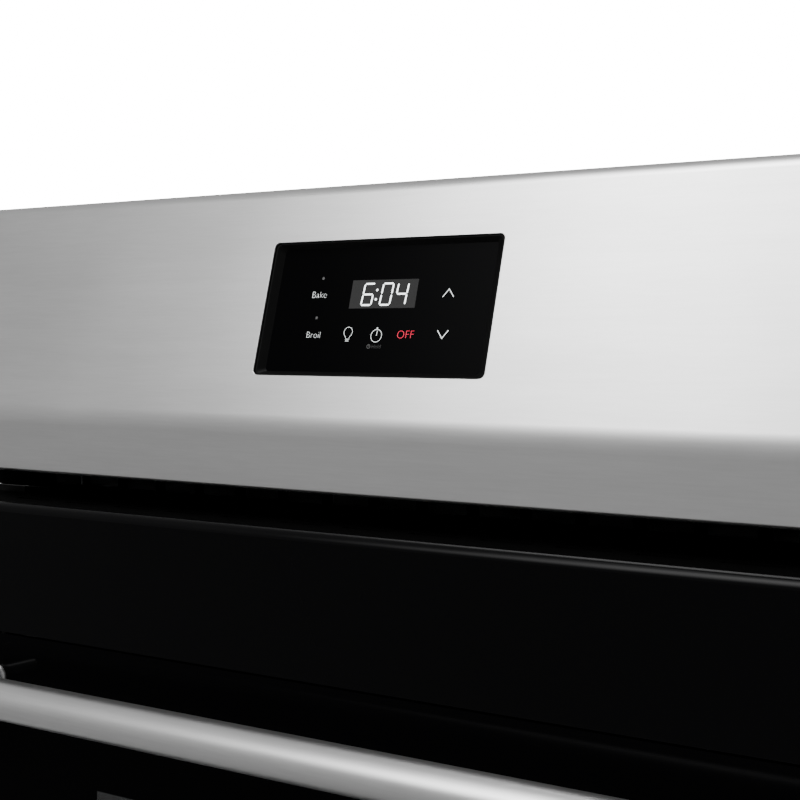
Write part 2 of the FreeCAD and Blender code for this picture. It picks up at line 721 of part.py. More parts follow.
def rack_guides():
    """Wire ladders on both side walls: two uprights and a rail for every rack position."""
    upright_x = HALF_CAVITY - 4
    rail_x = HALF_CAVITY - 8.5
    bars = [rod(GUIDE_R, (upright_x, y, 134), (upright_x, y, 478)) for y in (60, 420)]
    for z in RACK_LEVELS:
        bars.append(rod(GUIDE_R, (rail_x, 8, z), (rail_x, 468, z)))
    feet = [rod(4, (upright_x, y, z), (HALF_CAVITY - 0.05, y, z)) for y in (60, 420) for z in (140, 470)]
    ladder = join(bars + feet)
    return group([ladder, mirrored(ladder)])


def oven_rack(level):
    """A wire rack: a frame of heavy wire, fine wires across it and a raised stop at the back."""
    z = level + 5
    wire_z = z + RACK_FRAME_R + RACK_WIRE_R - 0.8
    middle = (RACK_FRONT + RACK_BACK) / 2
    corners = ((0, RACK_FRONT), (RACK_HALF, RACK_FRONT), (RACK_HALF, RACK_BACK), (0, RACK_BACK))
    side = bent_wire([(x, y, z) for x, y in corners], RACK_FRAME_R, RACK_CORNER)
    bars = [side, mirrored(side), rod(RACK_FRAME_R, (-RACK_HALF, middle, z), (RACK_HALF, middle, z))]
    reach = RACK_HALF - RACK_CORNER
    for index in range(RACK_WIRES):
        x = -reach + 2 * reach * index / (RACK_WIRES - 1)
        bars.append(rod(RACK_WIRE_R, (x, RACK_FRONT, wire_z), (x, RACK_BACK, wire_z)))
    stop = ((-reach, z), (-reach, z + RACK_STOP), (reach, z + RACK_STOP), (reach, z))
    bars.append(bent_wire([(x, RACK_BACK, height) for x, height in stop], RACK_WIRE_R, 4))
    return join(bars)


def element_path(z):
    """The looped route of a heating element, from one end in the back wall to the other."""
    right = [
        (ELEMENT_ENDS, CAVITY_BACK + 25), (ELEMENT_ENDS, 70), (105, 70), (105, 400),
        (ELEMENT_SIDE, 400), (ELEMENT_SIDE, 35),
    ]
    left = [(-x, y) for x, y in reversed(right)]
    return [(x, y, z) for x, y in right + left]


def bake_element():
    return bent_wire(element_path(BAKE_Z), ELEMENT_R, 16)


def broil_element():
    return bent_wire(element_path(BROIL_Z), ELEMENT_R, 16)


def element_clips():
    """Small stands and hangers that hold both elements off the cavity's walls."""
    gap = ELEMENT_R + 0.1
    clips = []
    for x in (-ELEMENT_SIDE, ELEMENT_SIDE):
        for y in (120, 330):
            stand = box(x - 6, x + 6, y - 2, y + 2, CAVITY_FLOOR + 0.05, BAKE_Z + 2)
            hanger = box(x - 6, x + 6, y - 2, y + 2, BROIL_Z - 2, CAVITY_TOP - 0.05)
            clips.append(stand.cut(rod(gap, (x, y - 5, BAKE_Z), (x, y + 5, BAKE_Z))))
            clips.append(hanger.cut(rod(gap, (x, y - 5, BROIL_Z), (x, y + 5, BROIL_Z))))
    return group(clips)


def lamp_lens():
    """The glass dome that screws over the oven lamp."""
    y = CAVITY_BACK - 0.1
    rim = rod(LAMP_R + 6, (LAMP_X, y - 4, LAMP_Z), (LAMP_X, y, LAMP_Z))
    dome = rod(LAMP_R, (LAMP_X, y - 16, LAMP_Z), (LAMP_X, y - 4, LAMP_Z))
    front = [edge for edge in dome.Edges if abs(edge.CenterOfMass.y - (y - 16)) < 0.01]
    dome = dome.makeFillet(6, front[:1])
    room = rod(LAMP_R - 2.5, (LAMP_X, y - 13, LAMP_Z), (LAMP_X, y + 1, LAMP_Z))
    return join([rim, dome]).cut(room)


def lamp_bulb():
    """A small appliance bulb standing in its holder."""
    tip_y = CAVITY_BACK + 4
    globe = Part.makeSphere(11, V(LAMP_X, tip_y, LAMP_Z))
    neck = rod(6.5, (LAMP_X, tip_y, LAMP_Z), (LAMP_X, tip_y + 26, LAMP_Z))
    return join([globe, neck])


def lamp_socket():
    """The ceramic cup behind the back wall that the bulb sits in."""
    y = CAVITY_BACK + LINER + 0.1
    cup = rod(LAMP_R + 3, (LAMP_X, y, LAMP_Z), (LAMP_X, y + 40, LAMP_Z))
    room = rod(14, (LAMP_X, y - 1, LAMP_Z), (LAMP_X, y + 14, LAMP_Z))
    bore = rod(6.6, (LAMP_X, y - 1, LAMP_Z), (LAMP_X, y + 30, LAMP_Z))
    return cup.cut(room).cut(bore)


def temperature_probe():
    """The sensing rod that stands out of the back wall on a small plate."""
    stem = rod(2.4, (PROBE_X, CAVITY_BACK - 95, LAMP_Z), (PROBE_X, CAVITY_BACK + 20, LAMP_Z))
    plate = box(PROBE_X - 14, PROBE_X + 14, CAVITY_BACK - 1.6, CAVITY_BACK - 0.1, LAMP_Z - 8, LAMP_Z + 8)
    return join([stem, plate])


# ---- case ----
def case_sides():
    wall = box(HALF_BODY - SHEET, HALF_BODY, 0.2, BODY_DEPTH, 0, BODY_HEIGHT)
    return group([wall, mirrored(wall)])


def case_back():
    """The back sheet, with cooling slots near the top and the wiring knock-out."""
    half = HALF_BODY - SHEET
    sheet = box(-half, half, BODY_DEPTH - SHEET, BODY_DEPTH, 0, BODY_HEIGHT)
    slots = []
    for x in range(-200, 81, 40):
        for z in range(600, 649, 12):
            slots.append(box(x - 14, x + 14, 550, 570, z, z + 4))
    knock_out = rod(KNOCK_OUT_R, (BOX_X, 550, BOX_Z), (BOX_X, 570, BOX_Z))
    return sheet.cut(group(slots)).cut(knock_out)


def case_top():
    half = HALF_BODY - SHEET
    return box(-half, half, 0.2, BODY_DEPTH - SHEET, BODY_HEIGHT - SHEET, BODY_HEIGHT)


def base_pan():
    half = HALF_BODY - SHEET
    floor = box(-half, half, 0.2, BODY_DEPTH - SHEET, 0, SHEET)
    ribs = [box(x - 1, x + 1, 80, 500, SHEET, 20) for x in (-150, 0, 150)]
    return join([floor] + ribs)


def front_bulkhead():
    """The sheet behind the control panel that carries it."""
    half = HALF_BODY - SHEET - 0.2
    sheet = box(-half, half, 0.3, 1.5, DUCT_TOP + 1, BODY_HEIGHT - SHEET - 0.2)
    cable_hole = rod(12, (-120, -5, 640), (-120, 5, 640))
    return sheet.cut(cable_hole)


def air_duct():
    """The flat channel that leads cooling air from the blower to the gap above the door."""
    half = 230.0
    front = FRAME_FACE + FRAME_SHEET + 0.3
    back = BLOWER_Y - BLOWER_R - 12
    outer = box(-half, half, front, back, DUCT_FLOOR, DUCT_TOP)
    room = box(1 - half, half - 1, front - 1, back - 1, DUCT_FLOOR + 1, DUCT_TOP - 1)
    outlet = box(-100, 100, back - 2, back + 2, DUCT_FLOOR + 1, DUCT_TOP - 1)
    return outer.cut(room).cut(outlet)


def flue_tube():
    """The short pipe that lets steam out of the cavity's roof."""
    high = CAVITY_TOP + LINER
    tube = pipe(FLUE_R - 1, FLUE_R, (0, FLUE_Y, high + 0.1), (0, FLUE_Y, high + 60))
    rest = high + BLANKET + 0.5
    collar = pipe(FLUE_R - 1, FLUE_R + 8, (0, FLUE_Y, rest), (0, FLUE_Y, rest + 1.5))
    return join([tube, collar])


def blower_housing():
    """The box around the blower wheel, open above for air in and in front for air out."""
    half = BLOWER_LENGTH / 2 + 4
    front = BLOWER_Y - BLOWER_R - 11.8
    back = BLOWER_Y + BLOWER_R + 10
    outer = box(-half, half, front, back, DUCT_FLOOR, BLOWER_Z + BLOWER_R + 6)
    room = box(1 - half, half - 1, front + 1, back - 1, DUCT_FLOOR + 1, BLOWER_Z + BLOWER_R + 7)
    mouth = box(-100, 100, front - 2, front + 2, DUCT_FLOOR + 1, DUCT_TOP - 1)
    shaft = rod(SHAFT_R + PIN_GAP, (-half - 1, BLOWER_Y, BLOWER_Z), (half + 1, BLOWER_Y, BLOWER_Z))
    return outer.cut(room).cut(mouth).cut(shaft)


def blower_wheel():
    """A drum of thin blades between three discs on one shaft."""
    half = BLOWER_LENGTH / 2 - 2
    pieces = [rod(SHAFT_R, (-half - 5, BLOWER_Y, BLOWER_Z), (half + 45, BLOWER_Y, BLOWER_Z))]
    for x in (-half, -1, half - 2):
        pieces.append(rod(BLOWER_R, (x, BLOWER_Y, BLOWER_Z), (x + 2, BLOWER_Y, BLOWER_Z)))
    blade = box(-half, half, -4, 4, BLOWER_R - 5.5, BLOWER_R - 4.5)
    for index in range(BLADES):
        turned = blade.copy()
        turned.rotate(V(0, 0, BLOWER_R - 5), X_AXIS, 35)
        turned.rotate(V(0, 0, 0), X_AXIS, index * 360 / BLADES)
        turned.translate(V(0, BLOWER_Y, BLOWER_Z))
        pieces.append(turned)
    return join(pieces)


def blower_motor():
    """A shaded-pole motor beside the blower, bored for its shaft."""
    x0 = BLOWER_LENGTH / 2 + 6
    core = box(x0, x0 + 22, BLOWER_Y - 24, BLOWER_Y + 24, BLOWER_Z - 26, BLOWER_Z + 26)
    coil = box(x0 - 0.5, x0 + 26, BLOWER_Y + 8, BLOWER_Y + 30, BLOWER_Z - 20, BLOWER_Z + 20)
    cup = rod(12, (x0 + 10, BLOWER_Y, BLOWER_Z), (x0 + 40, BLOWER_Y, BLOWER_Z))
    motor = join([core, coil, cup])
    return motor.cut(rod(SHAFT_R + PIN_GAP, (x0 - 5, BLOWER_Y, BLOWER_Z), (x0 + 38, BLOWER_Y, BLOWER_Z)))


def thermal_cutout():
    """The disc thermostat on the cavity's roof blanket that stops an overheated oven."""
    low = CAVITY_TOP + LINER + BLANKET + 0.1
    disc = rod(12, (100, 200, low), (100, 200, low + 6))
    tabs = [box(x - 3, x + 3, 199.5, 200.5, low + 5, low + 10) for x in (94, 106)]
    return join([disc] + tabs)


def junction_box():
    """The steel box at the back where the house wiring comes in."""
    back = BODY_DEPTH - SHEET - 0.05
    outer = box(BOX_X - 40, BOX_X + 40, back - 55, back, BOX_Z - 28, BOX_Z + 28)
    room = box(BOX_X - 39, BOX_X + 39, back - 54, back - 1.5, BOX_Z - 27, BOX_Z + 27)
    return outer.cut(room).cut(rod(KNOCK_OUT_R, (BOX_X, back - 3, BOX_Z), (BOX_X, back + 2, BOX_Z)))


def door_switch():
    """The lamp switch behind the front frame: a nose, a guide bore and a chamber."""
    x, z = SWITCH_X, SWITCH_Z
    case = box(x - 8, x + 8, FRAME_FACE + FRAME_SHEET + 0.2, 16, z - 9, z + 9)
    bore = rod(PLUNGER_R + PIN_GAP, (x, -20, z), (x, 0, z))
    chamber = rod(6, (x, -6, z), (x, 14, z))
    return case.cut(bore).cut(chamber)


def switch_plunger():
    """The plunger that the door pushes in; its collar keeps it in the switch."""
    x, z = SWITCH_X, SWITCH_Z
    stem = rod(PLUNGER_R, (x, DOOR_BACK + 0.1, z), (x, 6, z))
    collar = rod(4.8, (x, 0, z), (x, 1.5, z))
    return join([stem, collar])


SINGLE_PARTS = (
    control_fascia, panel_end_caps, display_bezel, display_glass, lcd_module, display_housing,
    control_board, board_parts, display_screws, front_frame, side_trims, bottom_vent_trim,
    vent_grille, door_seal, door_glass, door_top_trim, door_side_channels, door_bottom_trim,
    door_inner_panel, window_panes, window_frame, door_insulation, handle_bar, handle_posts,
    handle_screws, liner_screws, hinge_cases, hinge_arms, hinge_pins, hinge_receivers,
    hinge_springs, cavity_floor, cavity_roof, cavity_sides, cavity_back, insulation_blankets,
    rack_guides, bake_element, broil_element, element_clips, lamp_lens, lamp_bulb, lamp_socket,
    temperature_probe, case_sides, case_back, case_top, base_pan, front_bulkhead, air_duct,
    flue_tube, blower_housing, blower_wheel, blower_motor, thermal_cutout, junction_box,
    door_switch, switch_plunger,
)


def all_parts():
    """Every node's name with its finished shape."""
    parts = {make.__name__: make() for make in SINGLE_PARTS}
    parts["oven_rack_lower"] = oven_rack(LOWER_RACK_LEVEL)
    parts["oven_rack_upper"] = oven_rack(UPPER_RACK_LEVEL)
    return parts


os.makedirs("parts", exist_ok=True)
for name, shape in all_parts().items():
    shape.exportStep(f"parts/{name}.step")
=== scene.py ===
"""Looks of a built-in wall oven: panel, display, door, handle, racks, seal and finishes."""
import json
import math

import bmesh
import bpy
from mathutils import Matrix, Vector, noise

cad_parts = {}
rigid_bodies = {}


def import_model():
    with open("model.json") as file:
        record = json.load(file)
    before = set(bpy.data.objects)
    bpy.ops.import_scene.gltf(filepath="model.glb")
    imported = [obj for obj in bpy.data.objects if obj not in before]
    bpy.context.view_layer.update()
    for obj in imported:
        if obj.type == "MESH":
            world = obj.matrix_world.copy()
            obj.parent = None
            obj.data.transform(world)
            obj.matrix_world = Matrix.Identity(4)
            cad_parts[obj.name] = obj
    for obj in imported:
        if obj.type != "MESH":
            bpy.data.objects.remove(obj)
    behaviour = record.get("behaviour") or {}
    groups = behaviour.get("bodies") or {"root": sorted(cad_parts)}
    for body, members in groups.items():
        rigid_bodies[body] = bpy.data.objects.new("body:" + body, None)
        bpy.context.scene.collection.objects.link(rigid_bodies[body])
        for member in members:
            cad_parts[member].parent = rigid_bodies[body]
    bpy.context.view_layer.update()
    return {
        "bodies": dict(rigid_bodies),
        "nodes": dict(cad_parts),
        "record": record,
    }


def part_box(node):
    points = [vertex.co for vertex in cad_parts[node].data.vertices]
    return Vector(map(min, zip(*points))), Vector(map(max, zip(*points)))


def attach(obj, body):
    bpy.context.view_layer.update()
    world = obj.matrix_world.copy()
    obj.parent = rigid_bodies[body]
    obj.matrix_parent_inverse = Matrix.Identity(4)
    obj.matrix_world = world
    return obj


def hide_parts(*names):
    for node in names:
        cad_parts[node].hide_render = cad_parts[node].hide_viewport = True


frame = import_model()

MM = 0.001

bl_info = {
    "name": "Built-in Wall Oven",
    "version": (1, 0, 0),
    "blender": (4, 5, 0),
    "location": "3D View > Sidebar > Wall Oven",
    "description": "Builds the visible pieces and finishes of a built-in wall oven",
    "category": "Add Mesh",
}


# ---- settings a user would change ----
class OvenPanelSettings(bpy.types.PropertyGroup):
    """The folded stainless control panel."""

    lean: bpy.props.FloatProperty(
        name="Lean", description="How far the face leans back from upright",
        default=math.radians(15.7), subtype="ANGLE", unit="ROTATION")
    undercut: bpy.props.FloatProperty(
        name="Undercut", description="How far the lower face turns back under",
        default=math.radians(10.0), subtype="ANGLE", unit="ROTATION")
    sheet: bpy.props.FloatProperty(
        name="Sheet", description="Thickness of the sheet",
        default=1.2 * MM, subtype="DISTANCE", unit="LENGTH")
    top_round: bpy.props.FloatProperty(
        name="Top Round", description="Outside radius of the top edge",
        default=8.0 * MM, subtype="DISTANCE", unit="LENGTH")
    bend_round: bpy.props.FloatProperty(
        name="Bend Round", description="Outside radius of the middle bend",
        default=26.0 * MM, subtype="DISTANCE", unit="LENGTH")
    lip_round: bpy.props.FloatProperty(
        name="Lip Round", description="Outside radius of the lower lip",
        default=2.5 * MM, subtype="DISTANCE", unit="LENGTH")
    top_up: bpy.props.FloatProperty(
        name="Face Above Display", description="From the display's middle to the top round",
        default=59.5 * MM, subtype="DISTANCE", unit="LENGTH")
    bend_down: bpy.props.FloatProperty(
        name="Face Below Display", description="From the display's middle to the bend's corner",
        default=61.6 * MM, subtype="DISTANCE", unit="LENGTH")
    lower_face: bpy.props.FloatProperty(
        name="Lower Face", description="From the bend's corner to the lip's corner",
        default=34.4 * MM, subtype="DISTANCE", unit="LENGTH")
    steel: bpy.props.FloatVectorProperty(
        name="Steel", description="Colour of the stainless steel",
        default=(0.60, 0.60, 0.60), size=3, min=0.0, max=1.0, subtype="COLOR")


class OvenDisplaySettings(bpy.types.PropertyGroup):
    """The sunken glass display."""

    width: bpy.props.FloatProperty(
        name="Width", description="Width of the opening in the panel",
        default=140.0 * MM, subtype="DISTANCE", unit="LENGTH")
    height: bpy.props.FloatProperty(
        name="Height", description="Height of the opening in the panel",
        default=70.9 * MM, subtype="DISTANCE", unit="LENGTH")
    corner: bpy.props.FloatProperty(
        name="Corner", description="Corner radius of the opening",
        default=3.0 * MM, subtype="DISTANCE", unit="LENGTH")
    sink: bpy.props.FloatProperty(
        name="Sink", description="How far the glass lies behind the panel's face",
        default=3.8 * MM, subtype="DISTANCE", unit="LENGTH")
    ink: bpy.props.FloatVectorProperty(
        name="Ink", description="Colour of the lit digits and symbols",
        default=(0.86, 0.90, 0.90), size=3, min=0.0, max=1.0, subtype="COLOR")
    off_ink: bpy.props.FloatVectorProperty(
        name="Off Ink", description="Colour of the off key's word",
        default=(0.95, 0.05, 0.10), size=3, min=0.0, max=1.0, subtype="COLOR")


class OvenDoorSettings(bpy.types.PropertyGroup):
    """The door's front, window and handle."""

    band_round: bpy.props.FloatProperty(
        name="Band Round", description="Radius of the top band's upper edge",
        default=5.0 * MM, subtype="DISTANCE", unit="LENGTH")
    sheet: bpy.props.FloatProperty(
        name="Sheet", description="Thickness of the top band",
        default=1.5 * MM, subtype="DISTANCE", unit="LENGTH")
    black: bpy.props.FloatVectorProperty(
        name="Black", description="Colour of the band and the glass",
        default=(0.0016, 0.0016, 0.0018), size=3, min=0.0, max=1.0, subtype="COLOR")
    window_width: bpy.props.FloatProperty(
        name="Window Width", description="Width of the clear window in the glass",
        default=330.0 * MM, subtype="DISTANCE", unit="LENGTH")
    window_height: bpy.props.FloatProperty(
        name="Window Height", description="Height of the clear window in the glass",
        default=220.0 * MM, subtype="DISTANCE", unit="LENGTH")


class OvenStageSettings(bpy.types.PropertyGroup):
    """Floor, light and camera."""

    lens: bpy.props.FloatProperty(
        name="Lens", description="Focal length on a 36 mm sensor, in millimetres", default=68.85)
    yaw: bpy.props.FloatProperty(
        name="Yaw", description="How far right of straight ahead the camera stands",
        default=math.radians(35.2), subtype="ANGLE", unit="ROTATION")
    pitch: bpy.props.FloatProperty(
        name="Pitch", description="How far the camera looks down",
        default=math.radians(2.46), subtype="ANGLE", unit="ROTATION")
    away: bpy.props.FloatVectorProperty(
        name="Away", description="The camera's place from the display's middle",
        default=(445.2 * MM, -608.2 * MM, -13.5 * MM), size=3, subtype="TRANSLATION", unit="LENGTH")
    surround: bpy.props.FloatProperty(
        name="Surround", description="Brightness of the studio all round", default=0.62, min=0.0)
    patch: bpy.props.FloatProperty(
        name="Patch", description="Brightness of the bright patch of wall", default=17.0, min=0.0)
    patch_side: bpy.props.FloatProperty(
        name="Patch Side", description="How far left of straight ahead the patch lies",
        default=math.radians(31.0), subtype="ANGLE", unit="ROTATION")
    patch_up: bpy.props.FloatProperty(
        name="Patch Up", description="How high the patch lies",
        default=math.radians(46.0), subtype="ANGLE", unit="ROTATION")
    patch_reach: bpy.props.FloatVectorProperty(
        name="Patch Reach", description="How far the patch fades out across, in depth and up",
        default=(0.25, 2.0, 0.60), size=3)
    key_power: bpy.props.FloatProperty(
        name="Key Power", description="Power of the overhead light", default=14.0, unit="POWER")
    # The darker floor colour seen in reflections is painted shade in reflections.
    floor: bpy.props.FloatVectorProperty(
        name="Floor", description="Colour of the studio floor in the object's reflections",
        default=(0.215, 0.215, 0.215), size=3, min=0.0, max=1.0, subtype="COLOR")
    floor_seen: bpy.props.FloatVectorProperty(
        name="Floor seen", description="Pale colour of the studio floor where the camera sees it",
        default=(0.80, 0.80, 0.80), size=3, min=0.0, max=1.0, subtype="COLOR")


# ---- mesh helpers ----
def new_object(name, mesh, material, body):
    """Link a mesh as a piece that rides on a body and takes a slot's finish."""
    piece = bpy.data.objects.new(name, mesh)
    bpy.context.scene.collection.objects.link(piece)
    mesh.materials.append(material)
    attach(piece, body)
    return piece


def mesh_from(name, bm, smooth=True):
    """Finish a bmesh as a mesh with outward normals."""
    bmesh.ops.recalc_face_normals(bm, faces=bm.faces)
    for face in bm.faces:
        face.smooth = smooth
    mesh = bpy.data.meshes.new(name)
    bm.to_mesh(mesh)
    bm.free()
    return mesh


def soften(piece, width, segments=3, angle=40.0):
    """Round every hard edge a little and keep the flat faces flat."""
    bevel = piece.modifiers.new("edge_round", "BEVEL")
    bevel.width = width
    bevel.segments = segments
    bevel.limit_method = "ANGLE"
    bevel.angle_limit = math.radians(angle)
    bevel.use_clamp_overlap = True
    weigh = piece.modifiers.new("flat_faces", "WEIGHTED_NORMAL")
    weigh.keep_sharp = False
    weigh.weight = 100


def thicken(piece, thickness):
    """Give a surface sheet thickness on its inner side."""
    solid = piece.modifiers.new("sheet", "SOLIDIFY")
    solid.thickness = thickness
    solid.offset = -1.0
    solid.use_even_offset = True


def turned(bm, profile, steps, place):
    """Revolve (along, radius) points about the local X axis and set them down with a matrix."""
    rings = []
    for along, radius in profile:
        ring = []
        for step in range(steps):
            angle = 2 * math.pi * step / steps
            point = Vector((along, radius * math.cos(angle), radius * math.sin(angle)))
            ring.append(bm.verts.new(place @ point))
        rings.append(ring)
    for low, high in zip(rings, rings[1:]):
        for step in range(steps):
            ahead = (step + 1) % steps
            bm.faces.new((low[step], low[ahead], high[ahead], high[step]))
    bm.faces.new(rings[0])
    bm.faces.new(list(reversed(rings[-1])))


def rounded_outline(width, height, corner, steps=6):
    """Points around a rectangle with round corners, centred on the origin."""
    points = []
    quarters = ((1, 1, 0), (-1, 1, 90), (-1, -1, 180), (1, -1, 270))
    for side, level, start in quarters:
        centre = Vector((side * (width / 2 - corner), level * (height / 2 - corner)))
        for step in range(steps + 1):
            angle = math.radians(start + 90 * step / steps)
            points.append(centre + corner * Vector((math.cos(angle), math.sin(angle))))
    return points


def tube_along(bm, path, section, closed):
    """Sweep a flat ring of (side, up) points along a path whose steps lie in the XZ plane."""
    rings = []
    count = len(path)
    for index, point in enumerate(path):
        before = path[index - 1] if closed or index > 0 else path[index]
        after = path[(index + 1) % count] if closed or index < count - 1 else path[index]
        ahead = (after - before).normalized()
        side = Vector((ahead.z, 0, -ahead.x))
        rings.append([bm.verts.new(point + side * a + Vector((0, 1, 0)) * b) for a, b in section])
    pairs = list(zip(rings, rings[1:]))
    if closed:
        pairs.append((rings[-1], rings[0]))
    size = len(section)
    for low, high in pairs:
        for step in range(size):
            bm.faces.new((low[step], low[(step + 1) % size], high[(step + 1) % size], high[step]))


# ---- node helpers ----
def start_material(name, colour, roughness, metallic=0.0, coat=0.0):
    """A new material whose plain numbers sit on the shader itself."""
    material = bpy.data.materials.new(name)
    material.use_nodes = True
    shader = material.node_tree.nodes["Principled BSDF"]
    shader.inputs["Base Color"].default_value = (*colour, 1.0)
    shader.inputs["Roughness"].default_value = roughness
    shader.inputs["Metallic"].default_value = metallic
    shader.inputs["Coat Weight"].default_value = coat
    material.diffuse_color = (*colour, 1.0)
    return material, shader


def stretched_place(material, stretch):
    """Object coordinates scaled apart along X, Y and Z."""
    tree = material.node_tree
    place = tree.nodes.new("ShaderNodeTexCoord")
    mapping = tree.nodes.new("ShaderNodeMapping")
    mapping.inputs["Scale"].default_value = stretch
    tree.links.new(place.outputs["Object"], mapping.inputs["Vector"])
    return mapping.outputs["Vector"]


def noise_value(material, stretch, scale, detail=3.0, rough=0.5):
    """A cloudy pattern as a single value."""
    tree = material.node_tree
    pattern = tree.nodes.new("ShaderNodeTexNoise")
    pattern.inputs["Scale"].default_value = scale
    pattern.inputs["Detail"].default_value = detail
    pattern.inputs["Roughness"].default_value = rough
    tree.links.new(stretched_place(material, stretch), pattern.inputs["Vector"])
    return pattern.outputs["Fac"]


def cell_value(material, scale, feature="F1", output="Distance"):
    """A cellular pattern, for spangle, specks and enamel."""
    tree = material.node_tree
    cells = tree.nodes.new("ShaderNodeTexVoronoi")
    cells.feature = feature
    cells.inputs["Scale"].default_value = scale
    tree.links.new(stretched_place(material, (1, 1, 1)), cells.inputs["Vector"])
    return cells.outputs[output]


def remap(material, value, low, high, to_low, to_high):
    """Map a value's range onto another one."""
    tree = material.node_tree
    node = tree.nodes.new("ShaderNodeMapRange")
    node.inputs["From Min"].default_value = low
    node.inputs["From Max"].default_value = high
    node.inputs["To Min"].default_value = to_low
    node.inputs["To Max"].default_value = to_high
    tree.links.new(value, node.inputs["Value"])
    return node.outputs["Result"]


def blend_colours(material, value, first, second):
    """A colour between two, chosen by a value from 0 to 1."""
    tree = material.node_tree
    ramp = tree.nodes.new("ShaderNodeValToRGB")
    ramp.color_ramp.elements[0].color = (*first, 1.0)
    ramp.color_ramp.elements[1].color = (*second, 1.0)
    tree.links.new(value, ramp.inputs["Fac"])
    return ramp.outputs["Color"]


def set_colour(material, shader, value, first, second):
    """Vary the base colour with a pattern."""
    result = blend_colours(material, value, first, second)
    material.node_tree.links.new(result, shader.inputs["Base Color"])


def set_roughness(material, shader, value, low, high):
    """Vary the roughness with a pattern."""
    result = remap(material, value, 0.25, 0.75, low, high)
    material.node_tree.links.new(result, shader.inputs["Roughness"])


def set_bump(material, shader, value, distance, strength=1.0):
    """Raise and sink the surface with a pattern."""
    tree = material.node_tree
    bump = tree.nodes.new("ShaderNodeBump")
    bump.inputs["Strength"].default_value = strength
    bump.inputs["Distance"].default_value = distance
    tree.links.new(value, bump.inputs["Height"])
    tree.links.new(bump.outputs["Normal"], shader.inputs["Normal"])


# ---- finishes ----
BRUSH_WAY = (1.0, 0.02, 0.01)
BAND_GLOSS = 0.045
# Extra gloss for the door band's rounded top edge alone: a painted highlight.
EDGE_HIGHLIGHT_GLOSS = 0.07
GLASS_GLOSS = 0.010


def spread_across(material, shader, brush_way, amount):
    """Stretch the highlights across the brush lines, as a brushed metal does."""
    tree = material.node_tree
    surface = tree.nodes.new("ShaderNodeNewGeometry")
    across = tree.nodes.new("ShaderNodeVectorMath")
    across.operation = "CROSS_PRODUCT"
    across.inputs[1].default_value = brush_way
    tree.links.new(surface.outputs["Normal"], across.inputs[0])
    tree.links.new(across.outputs["Vector"], shader.inputs["Tangent"])
    shader.inputs["Anisotropic"].default_value = amount


def brushed_steel(name, colour, along=(50.0, 900.0, 900.0), rough=(0.27, 0.31)):
    """Stainless sheet with fine parallel brush lines, broad streaks and faint smudges."""
    material, shader = start_material(name, colour, sum(rough) / 2, metallic=1.0)
    spread_across(material, shader, BRUSH_WAY, 0.45)
    fine = noise_value(material, along, 1.0, detail=2.0)
    streaks = noise_value(material, tuple(step * 0.12 for step in along), 1.0, detail=3.0)
    smudges = noise_value(material, (1, 1, 1), 9.0, detail=2.0)
    darker = tuple(part * 0.84 for part in colour)
    lighter = tuple(min(1.0, part * 1.12) for part in colour)
    tree = material.node_tree
    both = tree.nodes.new("ShaderNodeMath")
    both.operation = "MULTIPLY_ADD"
    tree.links.new(streaks, both.inputs[0])
    both.inputs[1].default_value = 0.55
    half_fine = remap(material, fine, 0.0, 1.0, 0.0, 0.45)
    tree.links.new(half_fine, both.inputs[2])
    set_colour(material, shader, both.outputs["Value"], darker, lighter)
    shader_rough = remap(material, smudges, 0.3, 0.7, rough[0], rough[1])
    tree.links.new(shader_rough, shader.inputs["Roughness"])
    set_bump(material, shader, fine, 0.012 * MM, 0.55)
    return material


def black_glass(name, colour):
    """Deep black glass with the faintest unevenness."""
    material, shader = start_material(name, colour, 0.05)
    shader.inputs["Specular IOR Level"].default_value = GLASS_GLOSS
    haze = noise_value(material, (1, 1, 1), 14.0)
    set_roughness(material, shader, haze, 0.04, 0.075)
    set_bump(material, shader, noise_value(material, (1, 1, 1), 3.0), 0.03 * MM, 0.2)
    return material


def gloss_black(name, colour, gloss):
    """Glossy black enamel on the door's top band, with a soft ripple."""
    material, shader = start_material(name, colour, 0.16)
    shader.inputs["Specular IOR Level"].default_value = gloss
    set_roughness(material, shader, noise_value(material, (1, 1, 1), 22.0), 0.13, 0.20)
    set_bump(material, shader, noise_value(material, (1, 1, 1), 120.0), 0.02 * MM, 0.25)
    return material


def shadow_black(name):
    """Dead black standing in for the shade inside the air gap: painted shade."""
    material, shader = start_material(name, (0.001, 0.001, 0.001), 0.9)
    shader.inputs["Specular IOR Level"].default_value = 0.02
    set_bump(material, shader, noise_value(material, (1, 1, 1), 500.0), 0.02 * MM, 0.3)
    return material


def shaded_satin_black(name):
    """Fine near-black satin of the display's sunken frame and the side trims, darker than their own
    finishes: painted shade of the recess and the air gap.
    """
    material, shader = start_material(name, (0.003, 0.003, 0.003), 0.4)
    shader.inputs["Specular IOR Level"].default_value = 0.05
    set_roughness(material, shader, noise_value(material, (1, 1, 1), 300.0), 0.34, 0.46)
    return material


def moulded_black(name, colour):
    """Black moulded plastic with a fine spark texture."""
    material, shader = start_material(name, colour, 0.42)
    grain = noise_value(material, (1, 1, 1), 1400.0, detail=1.0)
    set_roughness(material, shader, grain, 0.36, 0.50)
    set_bump(material, shader, grain, 0.03 * MM, 0.5)
    return material


def painted_steel(name, colour):
    """Powder-coated sheet with an orange-peel skin and small scuffs."""
    material, shader = start_material(name, colour, 0.38)
    peel = noise_value(material, (1, 1, 1), 420.0, detail=1.0)
    wear = noise_value(material, (1, 1, 1), 12.0, detail=5.0)
    set_colour(material, shader, wear, colour, tuple(part * 1.7 for part in colour))
    set_roughness(material, shader, wear, 0.32, 0.46)
    set_bump(material, shader, peel, 0.05 * MM, 0.5)
    return material


